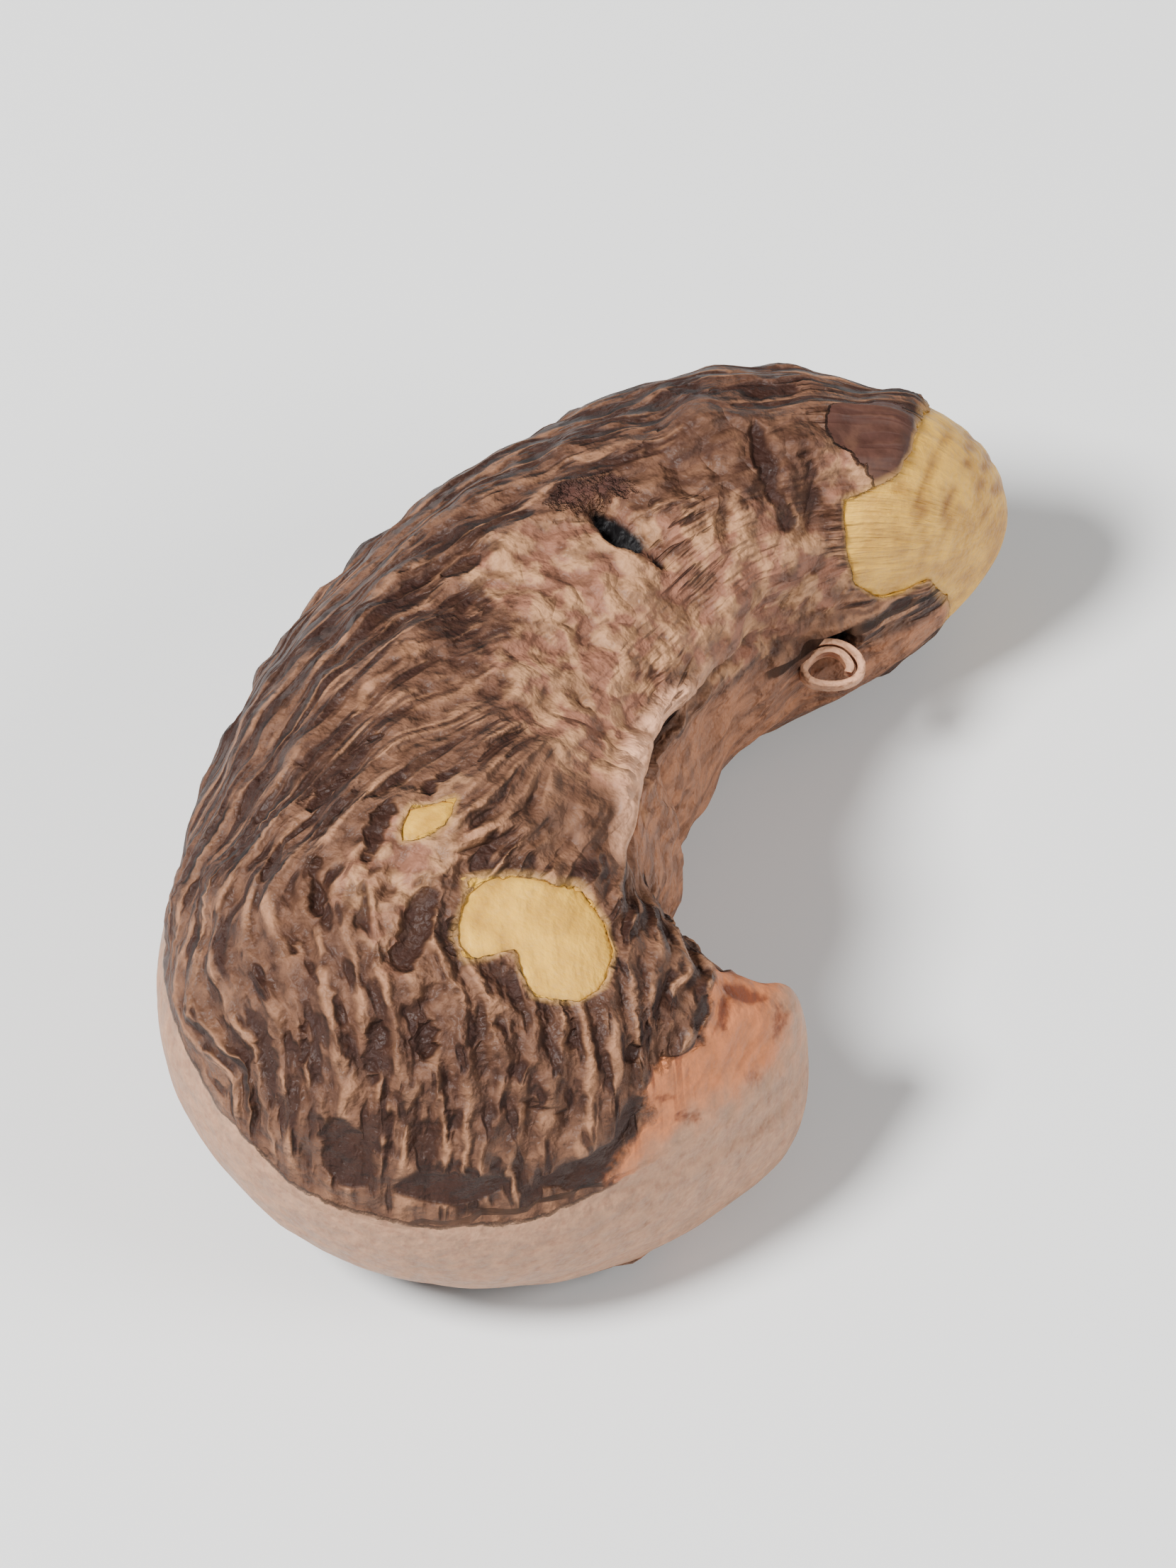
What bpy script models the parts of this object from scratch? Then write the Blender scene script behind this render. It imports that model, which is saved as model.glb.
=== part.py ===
"""A roasted cashew nut in its skin, lying on its side.

Sizes are in millimetres up to the point where a mesh is made. The nut's frame: +Z up, the
long axis along +Y, the bay of the crescent open towards +X, the origin in the middle of the
nut's outline on the surface that it rests on.

The nut is a fan of ribs. Each rib is an upright oval slice that stands at its own angle
round a pole in the bay, from the blunt tip, over the back and the fat lobe, to the hook.
"""

from typing import NamedTuple

import bmesh
import bpy
import numpy as np

MM = 0.001

# The skin and the kernel under it.
SKIN_THICKNESS = 0.35
SKIN_GAP = 0.3
KERNEL_DEPTH = SKIN_THICKNESS + SKIN_GAP

# Where the pole of the fan stands in the nut's own frame.
POLE = (5.36, 0.8)

# The ribs: angle round the pole in degrees, distance of the rib's middle from the pole,
# half its width across the limb, half its thickness.
RIBS = (
    (95.5, 13.4, 3.2, 3.9),
    (112.0, 11.8, 3.5, 4.7),
    (128.0, 10.7, 4.4, 5.4),
    (150.0, 9.5, 5.5, 5.7),
    (180.0, 8.9, 5.9, 5.9),
    (214.0, 9.2, 6.5, 6.4),
    (238.0, 10.2, 7.1, 6.6),
    (258.0, 10.1, 6.2, 6.2),
    (274.0, 8.6, 4.6, 5.5),
    (290.0, 6.9, 2.6, 4.3),
    (304.0, 5.6, 1.6, 3.2),
    (317.0, 4.4, 1.3, 2.6),
)
TIP_ANGLE = RIBS[0][0]
HOOK_ANGLE = RIBS[-1][0]
TIP_CAP = 15.0
HOOK_CAP = 13.0

# A slice is rounder on the back and squarer towards the bay.
BACK_POWER = 2.1
BAY_POWER = 2.5

# The nut rests on a flat spot under the back and the lobe, and both ends rise from it.
REST_DEPTH = 0.25
REST_FROM, REST_TO = 150.0, 262.0
TIP_LIFT, HOOK_LIFT = 1.1, 1.4

# The pale strip along the back: its edges in degrees round a slice, and its relief.
STRIP_LOW, STRIP_HIGH = -27.0, 5.0
STRIP_EDGE = 4.0
STRIP_RISE = 0.10
STRIP_GROOVE = 0.12

# The crease that parts the upper face from the wall of the bay: its side at each angle.
CREASE_ANGLES = (112.0, 125.0, 140.0, 170.0, 221.0, 250.0)
CREASE_SIDES = (186.0, 169.0, 160.0, 150.0, 142.0, 137.0)
CREASE_WIDTH, CREASE_RISE, CREASE_FADE = 9.0, 0.2, 10.0
CREASE_GROOVE, GROOVE_OFF_CREASE = 0.16, 13.0

# Low ridges that run along the limb. From one angle on they turn down to the strip, by a
# share of the square of the angle, and they fade out towards the hook and in the bay.
RIDGES = 18
RIDGE_RISE, LOBE_RIDGE_RISE = 0.11, 0.07
RIDGE_TURN_FROM, RIDGE_TURN = 225.0, 0.0226
RIDGES_FADE_FROM, RIDGES_FADE_TO = 264.0, 288.0
BAY_FROM_SIDE, BAY_TO_SIDE, BAY_SMOOTHNESS = 110.0, 150.0, 0.7

# The underside has no relief where it rests.
REST_SIDE, REST_WIDTH = 270.0, 34.0

# Broad unevenness: height, waves along the nut, waves round it, phase.
SWELLS = ((0.14, 3.0, 1.0, 0.4), (0.10, 5.0, 2.0, 2.1), (0.07, 9.0, 3.0, 4.0))


class Patch(NamedTuple):
    """A place where the skin has flaked off, as a ragged cone out of the limb's middle.

    angle and side say where its middle lies, from_angle where the cone starts on the limb's
    middle line. The half length runs along the limb and the half width across it, in
    millimetres, before a spin in degrees. The notch is a share of the radius that goes in
    (or, below zero, out) at one turn.
    """

    angle: float
    side: float
    from_angle: float
    half_length: float
    half_width: float
    spin: float
    notch: float
    notch_at: float


PATCHES = {
    "tip": Patch(97.0, 150.0, 117.0, 7.4, 7.4, 0.0, -0.35, 70.0),
    "face": Patch(261.5, 96.0, 261.5, 2.0, 1.9, 0.0, 0.45, 262.0),
    "fleck": Patch(234.5, 89.0, 234.5, 0.5, 0.85, 12.0, 0.0, 0.0),
    "under": Patch(206.0, 232.0, 206.0, 1.7, 1.3, 40.0, 0.3, 200.0),
}
PATCH_POINTS = 40
NOTCH_WIDTH = 24.0
# How far a cone stands out, as a multiple of the way to the skin.
PATCH_FAR = 1.6
# How ragged an outline is: lobes round it, their share of the radius, phase.
RAGGED = ((2, 0.06, 0.9), (3, 0.06, 2.6), (5, 0.05, 0.3), (9, 0.04, 1.7))

# Mesh fineness: rings along the limb's body and in each rounded end, sides round a slice.
SKIN_GRID = (50, 5, 72)
INNER_GRID = (24, 4, 36)
KERNEL_GRID = (28, 5, 40)

SKIN_COLOUR = (0.235, 0.118, 0.078)
KERNEL_COLOUR = (0.62, 0.43, 0.17)


def smooth_between(knots, values, at):
    """A cubic curve through the knots, whose slope at each is that of its neighbours."""
    knots = np.asarray(knots, float)
    values = np.asarray(values, float)
    slopes = np.gradient(values, knots)
    index = np.clip(np.searchsorted(knots, at, side="right") - 1, 0, len(knots) - 2)
    span = knots[index + 1] - knots[index]
    u = (at - knots[index]) / span
    return (
        values[index] * (1 + 2 * u) * (1 - u) ** 2
        + slopes[index] * span * u * (1 - u) ** 2
        + values[index + 1] * u**2 * (3 - 2 * u)
        + slopes[index + 1] * span * u**2 * (u - 1)
    )


def ease(low, high, x):
    """Rises smoothly from 0 at low to 1 at high."""
    t = np.clip((x - low) / (high - low), 0.0, 1.0)
    return t * t * (3 - 2 * t)


def bump(x, middle, width):
    """A rounded bump of height 1 at the middle."""
    return np.exp(-(((x - middle) / width) ** 2))


def ring_stations(body_rings, cap_rings):
    """Each ring's angle round the pole, and how far its rib has opened from the end."""
    turn = np.radians(90.0) * np.arange(1, cap_rings + 1) / cap_rings
    tip = TIP_ANGLE + TIP_CAP * (1 - np.cos(turn))
    hook = HOOK_ANGLE - HOOK_CAP * (1 - np.cos(turn))
    body = np.linspace(tip[-1], hook[-1], body_rings + 2)[1:-1]
    angles = np.concatenate([tip, body, hook[::-1]])
    opening = np.concatenate([np.sin(turn), np.ones(body_rings), np.sin(turn)[::-1]])
    return angles, opening


def rib_middle_height(angles, half_thickness):
    """Height of a rib's middle: its underside dips to the rest plane, and the ends rise."""
    lift = TIP_LIFT * (1 - ease(TIP_ANGLE, REST_FROM, angles))
    lift += HOOK_LIFT * ease(REST_TO, HOOK_ANGLE, angles)
    return half_thickness - REST_DEPTH + lift


def to_side(side, target):
    """How far round the slice a side lies from the target, in degrees, from -180 to 180."""
    return (side - target + 180.0) % 360.0 - 180.0


def broad_relief(angles, side):
    """Relief that the skin and the kernel share, in millimetres over the oval ribs."""
    back = to_side(side, 0.0)
    strip = ease(STRIP_LOW - STRIP_EDGE, STRIP_LOW + STRIP_EDGE, back)
    strip *= 1 - ease(STRIP_HIGH - STRIP_EDGE, STRIP_HIGH + STRIP_EDGE, back)
    crease_side = np.interp(angles, CREASE_ANGLES, CREASE_SIDES)
    height = STRIP_RISE * strip
    height += CREASE_RISE * crease_share(angles) * bump(side, crease_side, CREASE_WIDTH)
    for rise, along, around, phase in SWELLS:
        height += rise * np.sin(
            along * np.radians(angles) + around * np.radians(side) + phase
        )
    return height * off_the_rest(side)


def fine_relief(angles, side):
    """Relief of the skin's outer face only: ridges, and grooves by the strip and the crease."""
    back = to_side(side, 0.0)
    grooves = bump(back, STRIP_LOW - STRIP_EDGE, STRIP_EDGE)
    grooves += bump(back, STRIP_HIGH + STRIP_EDGE, STRIP_EDGE)
    height = -STRIP_GROOVE * grooves
    groove_side = np.interp(angles, CREASE_ANGLES, CREASE_SIDES) + GROOVE_OFF_CREASE
    height -= CREASE_GROOVE * crease_share(angles) * bump(side, groove_side, CREASE_WIDTH)

    turned = RIDGE_TURN * np.maximum(angles - RIDGE_TURN_FROM, 0.0) ** 2
    ridges = np.cos(np.radians(RIDGES * (np.abs(back) + turned)))
    on_strip = ease(STRIP_LOW - 2 * STRIP_EDGE, STRIP_LOW, back)
    on_strip *= 1 - ease(STRIP_HIGH, STRIP_HIGH + 2 * STRIP_EDGE, back)
    in_bay = BAY_SMOOTHNESS * ease(BAY_FROM_SIDE, BAY_TO_SIDE, np.abs(back))
    smooth = np.maximum(in_bay, on_strip)
    smooth = np.maximum(smooth, ease(RIDGES_FADE_FROM, RIDGES_FADE_TO, angles))
    on_lobe = ease(RIDGE_TURN_FROM, RIDGES_FADE_FROM, angles)
    rise = RIDGE_RISE + (LOBE_RIDGE_RISE - RIDGE_RISE) * on_lobe
    height += rise * ridges * (1 - smooth)
    return height * off_the_rest(side)


def crease_share(angles):
    """1 where the crease is at its full height, 0 beyond its ends."""
    first, last = CREASE_ANGLES[0], CREASE_ANGLES[-1]
    rise = ease(first - CREASE_FADE, first + CREASE_FADE, angles)
    return rise * (1 - ease(last - CREASE_FADE, last + CREASE_FADE, angles))


def off_the_rest(side):
    """0 along the line that the nut rests on, 1 away from it."""
    return 1 - bump(side, REST_SIDE, REST_WIDTH)


def rib_points(angles, opening, side):
    """Points of the plain oval ribs for matching arrays of angle, opening and side."""
    knots = [rib[0] for rib in RIBS]
    middle, half_width, half_thickness = (
        smooth_between(knots, [rib[column] for rib in RIBS], angles) for column in (1, 2, 3)
    )
    c, s = np.cos(np.radians(side)), np.sin(np.radians(side))
    power = 2.0 / np.where(c > 0, BACK_POWER, BAY_POWER)
    across = np.sign(c) * np.abs(c) ** power
    upward = np.sign(s) * np.abs(s) ** power
    radius = middle + half_width * opening * across
    height = rib_middle_height(angles, half_thickness) + half_thickness * opening * upward
    turn = np.radians(angles)
    return np.stack(
        [POLE[0] + radius * np.cos(turn), POLE[1] + radius * np.sin(turn), height], axis=-1
    )


def outward(grid):
    """Unit normals of a grid of rings, from the differences between neighbours."""
    along = np.gradient(grid, axis=0)
    around = np.roll(grid, -1, axis=1) - np.roll(grid, 1, axis=1)
    normal = np.cross(along, around)
    return normal / np.linalg.norm(normal, axis=-1, keepdims=True)


def end_point(angle, direction, depth):
    """The point where a rounded end closes, moved in by the depth."""
    point = rib_points(np.array([angle]), np.array([0.0]), np.array([0.0]))[0]
    turn = np.radians(angle)
    out = np.array([-np.sin(turn), np.cos(turn), 0.0]) * direction
    return point - out * depth


def nut_surface(grid_size, depth, with_ridges):
    """Rings of points at a depth under the skin's outer face, and the two end points."""
    body_rings, cap_rings, sides = grid_size
    stations, opened = ring_stations(body_rings, cap_rings)
    angles, side = np.meshgrid(stations, 360.0 * np.arange(sides) / sides, indexing="ij")
    opening = np.broadcast_to(opened[:, None], angles.shape)
    rings = rib_points(angles, opening, side)
    rise = broad_relief(angles, side)
    if with_ridges:
        rise = rise + fine_relief(angles, side)
    rings = rings + outward(rings) * (opening**2 * rise - depth)[..., None]
    rings[..., 2] = np.maximum(rings[..., 2], depth)
    ends = (end_point(TIP_ANGLE, -1.0, depth), end_point(HOOK_ANGLE, 1.0, depth))
    return rings, ends


def patch_frame(patch):
    """Where a patch's cone starts, its way out, and its lengthwise and crosswise axes."""
    step = 0.5
    angles = patch.angle + step * np.array([[-1.0] * 3, [0.0] * 3, [1.0] * 3])
    sides = patch.side + step * np.array([[-1.0, 0.0, 1.0]] * 3)
    short_of_end = np.clip((TIP_ANGLE + TIP_CAP - angles) / TIP_CAP, 0.0, 1.0)
    near = rib_points(angles, np.sqrt(1 - short_of_end**2), sides)
    start = rib_points(np.array([patch.from_angle]), np.array([0.0]), np.array([0.0]))[0]
    way = near[1, 1] - start
    out = way / np.linalg.norm(way)
    lengthwise = near[2, 1] - near[0, 1]
    lengthwise -= out * (lengthwise @ out)
    lengthwise /= np.linalg.norm(lengthwise)
    crosswise = np.cross(lengthwise, out)
    if crosswise @ (near[1, 2] - near[1, 0]) < 0:
        crosswise = -crosswise
    return start, way, lengthwise, crosswise


def patch_radius(patch, turn):
    """Distance of a patch's ragged outline from its middle, at a turn in degrees."""
    t = np.radians(turn)
    oval = 1 / np.hypot(np.cos(t) / patch.half_length, np.sin(t) / patch.half_width)
    ragged = 1 + sum(share * np.sin(lobes * t + phase) for lobes, share, phase in RAGGED)
    notch = patch.notch * bump(to_side(turn, patch.notch_at), 0.0, NOTCH_WIDTH)
    return oval * ragged * (1 - notch)


def closed_mesh(name, rings, ends):
    """A mesh of the rings, closed by a fan of triangles at each end."""
    count, sides = rings.shape[:2]
    points = np.concatenate([rings.reshape(-1, 3), np.array(ends)]) * MM
    first_end, last_end = count * sides, count * sides + 1
    faces = []
    for ring in range(count - 1):
        here, beyond = ring * sides, (ring + 1) * sides
        for k in range(sides):
            after = (k + 1) % sides
            faces.append((here + k, here + after, beyond + after, beyond + k))
    last = (count - 1) * sides
    for k in range(sides):
        after = (k + 1) % sides
        faces.append((first_end, after, k))
        faces.append((last_end, last + k, last + after))
    mesh = bpy.data.meshes.new(name)
    mesh.from_pydata([tuple(p) for p in points], [], faces)
    return mesh


def face_outwards(mesh):
    """Turns every face of a closed mesh outwards."""
    shape = bmesh.new()
    shape.from_mesh(mesh)
    bmesh.ops.recalc_face_normals(shape, faces=shape.faces)
    shape.to_mesh(mesh)
    shape.free()


def add_object(name, mesh):
    """An object for the mesh, in the scene, with its faces turned outwards."""
    face_outwards(mesh)
    obj = bpy.data.objects.new(name, mesh)
    bpy.context.scene.collection.objects.link(obj)
    return obj


def finish_material(name, colour, roughness):
    """A plain finish for a node."""
    material = bpy.data.materials.new(name)
    material.use_nodes = True
    shader = material.node_tree.nodes["Principled BSDF"]
    shader.inputs["Base Color"].default_value = (*colour, 1.0)
    shader.inputs["Roughness"].default_value = roughness
    shader.inputs["Metallic"].default_value = 0.0
    return material


def patch_cutter(name, patch):
    """A ragged cone that stands out through the skin where it has flaked off."""
    start, way, lengthwise, crosswise = patch_frame(patch)
    turns = 360.0 * np.arange(PATCH_POINTS) / PATCH_POINTS
    reach = patch_radius(patch, turns)
    spun = np.radians(turns + patch.spin)
    rays = (
        way
        + np.outer(reach * np.cos(spun), lengthwise)
        + np.outer(reach * np.sin(spun), crosswise)
    )
    points = np.concatenate([[start], start + PATCH_FAR * rays, [start + 2 * PATCH_FAR * way]])
    faces = []
    for k in range(PATCH_POINTS):
        here, after = 1 + k, 1 + (k + 1) % PATCH_POINTS
        faces += [(0, here, after), (PATCH_POINTS + 1, after, here)]
    mesh = bpy.data.meshes.new(name)
    mesh.from_pydata([tuple(p) for p in points * MM], [], faces)
    return add_object(name, mesh)


def make_skin():
    """The papery skin: a thin shell of the nut's outer shape with the bare patches open."""
    skin = add_object("skin", closed_mesh("skin", *nut_surface(SKIN_GRID, 0.0, True)))
    inside = nut_surface(INNER_GRID, SKIN_THICKNESS, False)
    cutters = [add_object("skin_hollow", closed_mesh("skin_hollow", *inside))]
    cutters += [patch_cutter(f"patch_{name}", patch) for name, patch in PATCHES.items()]
    removed = bpy.data.collections.new("removed_from_skin")
    bpy.context.scene.collection.children.link(removed)
    for cutter in cutters:
        bpy.context.scene.collection.objects.unlink(cutter)
        removed.objects.link(cutter)
        cutter.hide_render = True
        cutter.display_type = "WIRE"
    cut = skin.modifiers.new("flaked_off", "BOOLEAN")
    cut.operation = "DIFFERENCE"
    cut.operand_type = "COLLECTION"
    cut.collection = removed
    skin.data.materials.append(finish_material("skin", SKIN_COLOUR, 0.7))
    skin.data.shade_smooth()
    return skin


def make_kernel():
    """The kernel, smooth, loose in the skin by the gap."""
    surface = nut_surface(KERNEL_GRID, KERNEL_DEPTH, False)
    kernel = add_object("kernel", closed_mesh("kernel", *surface))
    kernel.data.materials.append(finish_material("kernel", KERNEL_COLOUR, 0.45))
    kernel.data.shade_smooth()
    return kernel


def clear_scene():
    """Removes every object that the scene holds."""
    for obj in list(bpy.data.objects):
        bpy.data.objects.remove(obj)


clear_scene()
make_skin()
make_kernel()
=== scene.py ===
"""A roasted cashew nut in its papery skin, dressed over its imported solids.

Every surface is a function of two parameters: how far along the limb a point lies, from the
blunt tip over the back and the fat lobe to the hook, and its side, in degrees round the
limb's slice: 0 on the back, 90 on top, 180 in the bay and 270 underneath. Lengths are in
millimetres up to the point where a mesh is made.
"""

import logging
from collections.abc import Callable
from dataclasses import dataclass, field
from enum import Enum

import bpy
import numpy as np
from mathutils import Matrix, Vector


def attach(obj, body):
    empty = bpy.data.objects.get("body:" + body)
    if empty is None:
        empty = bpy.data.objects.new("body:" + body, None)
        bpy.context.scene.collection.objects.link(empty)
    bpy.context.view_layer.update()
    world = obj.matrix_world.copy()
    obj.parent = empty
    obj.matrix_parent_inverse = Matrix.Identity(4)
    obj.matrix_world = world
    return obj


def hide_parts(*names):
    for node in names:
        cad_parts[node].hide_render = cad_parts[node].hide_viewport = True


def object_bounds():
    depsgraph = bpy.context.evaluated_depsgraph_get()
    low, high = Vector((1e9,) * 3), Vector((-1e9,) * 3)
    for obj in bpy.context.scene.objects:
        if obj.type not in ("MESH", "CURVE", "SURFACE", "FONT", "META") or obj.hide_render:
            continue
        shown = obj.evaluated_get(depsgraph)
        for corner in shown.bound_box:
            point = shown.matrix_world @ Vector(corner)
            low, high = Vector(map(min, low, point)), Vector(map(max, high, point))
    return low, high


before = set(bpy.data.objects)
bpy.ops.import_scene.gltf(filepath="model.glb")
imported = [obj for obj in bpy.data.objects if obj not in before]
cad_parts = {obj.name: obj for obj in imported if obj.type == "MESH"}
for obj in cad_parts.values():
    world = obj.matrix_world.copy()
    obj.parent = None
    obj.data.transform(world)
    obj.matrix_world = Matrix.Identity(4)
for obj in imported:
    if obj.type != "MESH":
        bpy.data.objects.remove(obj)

CAD_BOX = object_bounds()
LOG = logging.getLogger("cashew")
MM = 0.001

Array = np.ndarray
Colour = tuple[float, float, float]
Place = tuple[float, float]
Curve = tuple[tuple[float, ...], tuple[float, ...]]
Weights = tuple[tuple[str, float], ...]


class Piece(Enum):
    """The two nodes of the nut, each dressed by one piece of the same name."""

    SKIN = "skin"
    KERNEL = "kernel"


def ease(low: float, high: float, x: Array) -> Array:
    """Rises smoothly from 0 at low to 1 at high: 3t^2 - 2t^3 of the share t of the way."""
    t = np.clip((x - low) / (high - low), 0.0, 1.0)
    return t * t * (3 - 2 * t)


def bump(x: Array, middle: Array | float, width: float) -> Array:
    """A rounded bump of height 1 at its middle: e to the minus square of the offset in widths."""
    return np.exp(-(((x - middle) / width) ** 2))


def to_side(side: Array, target: Array | float) -> Array:
    """How far round the slice a side lies from the target, in degrees, from -180 to 180."""
    return (side - target + 180.0) % 360.0 - 180.0


def smooth_between(knots: Array, values: Array, at: Array) -> Array:
    """A cubic curve through the knots, whose slope at each is that of its neighbours.

    Args:
        knots: Rising positions.
        values: The curve's value at each knot.
        at: Where to read the curve.

    Returns:
        The curve's values.
    """
    slopes = np.gradient(values, knots)
    index = np.clip(np.searchsorted(knots, at, side="right") - 1, 0, len(knots) - 2)
    span = knots[index + 1] - knots[index]
    u = (at - knots[index]) / span
    return (
        values[index] * (1 + 2 * u) * (1 - u) ** 2
        + slopes[index] * span * u * (1 - u) ** 2
        + values[index + 1] * u**2 * (3 - 2 * u)
        + slopes[index + 1] * span * u**2 * (u - 1)
    )


def lattice_share(cell: Array, seed: int) -> Array:
    """A number for each lattice point, scrambled from its three integers, alike on every run.

    Args:
        cell: The integers, the last axis being x, y, z.
        seed: Which scramble.

    Returns:
        Numbers from 0 to 1.
    """
    mixed = cell @ np.array([374761393, 668265263, 2147483647]) + seed * 1274126177
    mixed = mixed & 0xFFFFFFFF
    mixed = ((mixed ^ (mixed >> 13)) * 1274126177) & 0xFFFFFFFF
    return ((mixed ^ (mixed >> 16)) & 0xFFFF) / 65535.0


@dataclass(frozen=True)
class Rough:
    """Lumps on lumps, each layer half as large and half as strong as the one before.

    Attributes:
        strength: How strong the first layer is, from its lowest to its highest.
        size: Size of its lumps, one for all axes or one for each.
        seed: Which lumps.
        layers: How many layers.
    """

    strength: float
    size: float | Colour
    seed: int
    layers: int = 4

    def at(self, points: Array) -> Array:
        """Sums the layers: lattice values round a point, blended by the eased way between them.

        Args:
            points: Points, the last axis being x, y, z.

        Returns:
            Numbers round 0, mostly within half the strength.
        """
        total = np.zeros(points.shape[:-1])
        for layer in range(self.layers):
            scaled = points / (np.asarray(self.size, float) / 2**layer)
            cell = np.floor(scaled).astype(np.int64)
            way = ease(0.0, 1.0, scaled - cell)
            lumps = np.zeros(points.shape[:-1])
            for corner in np.ndindex(2, 2, 2):
                weight = np.prod(np.where(corner, way, 1 - way), axis=-1)
                lumps += weight * lattice_share(cell + np.array(corner), self.seed + layer)
            total += (lumps - 0.5) / 2**layer
        return self.strength * total


@dataclass(frozen=True)
class Limb:
    """The nut's plain shape: upright oval slices on a fan of ribs round a pole in the bay.

    Attributes:
        pole: Where the pole stands.
        ribs: Angle round the pole, distance of the slice's middle, half width, half thickness.
        tip_cap: Degrees in which the tip rounds off.
        hook_cap: Degrees in which the hook rounds off.
        back_power: How square the ovals are towards the back, 2 being an ellipse.
        bay_power: How square they are towards the bay.
        rest_depth: How deep the floor cuts into the ovals.
        rest_from: Angle up to which the tip stands off the floor.
        rest_to: Angle from which the hook does.
        tip_lift: How far the tip's end is lifted.
        hook_lift: How far the hook's end is.
    """

    pole: Place = (5.36, 0.8)
    ribs: tuple[tuple[float, float, float, float], ...] = (
        (95.5, 13.4, 3.2, 3.9),
        (112.0, 11.8, 3.5, 4.7),
        (128.0, 10.7, 4.4, 5.4),
        (150.0, 9.5, 5.5, 5.7),
        (180.0, 8.9, 5.9, 5.9),
        (214.0, 9.2, 6.5, 6.4),
        (238.0, 10.2, 7.1, 6.6),
        (258.0, 10.1, 6.2, 6.2),
        (274.0, 8.6, 4.6, 5.5),
        (290.0, 6.9, 2.6, 4.3),
        (304.0, 5.6, 1.6, 3.2),
        (317.0, 4.4, 1.3, 2.6),
    )
    tip_cap: float = 15.0
    hook_cap: float = 13.0
    back_power: float = 2.1
    bay_power: float = 2.5
    rest_depth: float = 0.25
    rest_from: float = 150.0
    rest_to: float = 262.0
    tip_lift: float = 1.1
    hook_lift: float = 1.4

    @property
    def tip_angle(self) -> float:
        """Angle of the tip's end."""
        return self.ribs[0][0]

    @property
    def hook_angle(self) -> float:
        """Angle of the hook's end."""
        return self.ribs[-1][0]

    def column(self, index: int, angles: Array) -> Array:
        """One of the ribs' sizes, as a smooth curve over the angle."""
        table = np.array(self.ribs)
        return smooth_between(table[:, 0], table[:, index], angles)

    def points(self, angles: Array, opening: Array, side: Array) -> Array:
        """Points of the ovals: the middle plus the half sizes times powers of cosine and sine.

        Args:
            angles: Angle round the pole.
            opening: How far the slice has opened from the limb's end, from 0 to 1.
            side: Degrees round the slice.

        Returns:
            Points, the last axis being x, y, z.
        """
        middle, half_width, half_thickness = (self.column(k, angles) for k in (1, 2, 3))
        c, s = np.cos(np.radians(side)), np.sin(np.radians(side))
        power = 2.0 / np.where(c > 0, self.back_power, self.bay_power)
        radius = middle + half_width * opening * np.sign(c) * np.abs(c) ** power
        lift = self.tip_lift * (1 - ease(self.tip_angle, self.rest_from, angles))
        lift += self.hook_lift * ease(self.rest_to, self.hook_angle, angles)
        height = half_thickness - self.rest_depth + lift
        height = height + half_thickness * opening * np.sign(s) * np.abs(s) ** power
        turn = np.radians(angles)
        x, y = self.pole[0] + radius * np.cos(turn), self.pole[1] + radius * np.sin(turn)
        return np.stack([x, y, height], axis=-1)

    def middle(self, angle: float) -> Array:
        """The middle of the slice at an angle."""
        return self.points(np.array([angle]), np.zeros(1), np.zeros(1))[0]

    def on_skin(self, angles: Array, side: Array) -> Array:
        """Points of the plain surface at angles that may lie within a rounded end.

        Args:
            angles: Angle round the pole.
            side: Degrees round the slice.

        Returns:
            The points, whose openings are the heights of quarter circles in the ends.
        """
        short = np.clip((self.tip_angle + self.tip_cap - angles) / self.tip_cap, 0.0, 1.0)
        past = np.clip((angles - self.hook_angle + self.hook_cap) / self.hook_cap, 0.0, 1.0)
        return self.points(angles, np.sqrt(1 - np.maximum(short, past) ** 2), side)

    def run(self, angles: Array) -> Array:
        """Length along the limb's middle line from the tip, the distance summed over the turn.

        Args:
            angles: Angle round the pole.

        Returns:
            The lengths.
        """
        steps = np.linspace(self.tip_angle, self.hook_angle, 400)
        middle = self.column(1, steps)
        step = np.radians(steps[1] - steps[0])
        total = np.concatenate([[0.0], np.cumsum((middle[1:] + middle[:-1]) / 2 * step)])
        return np.interp(angles, steps, total)


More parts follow.
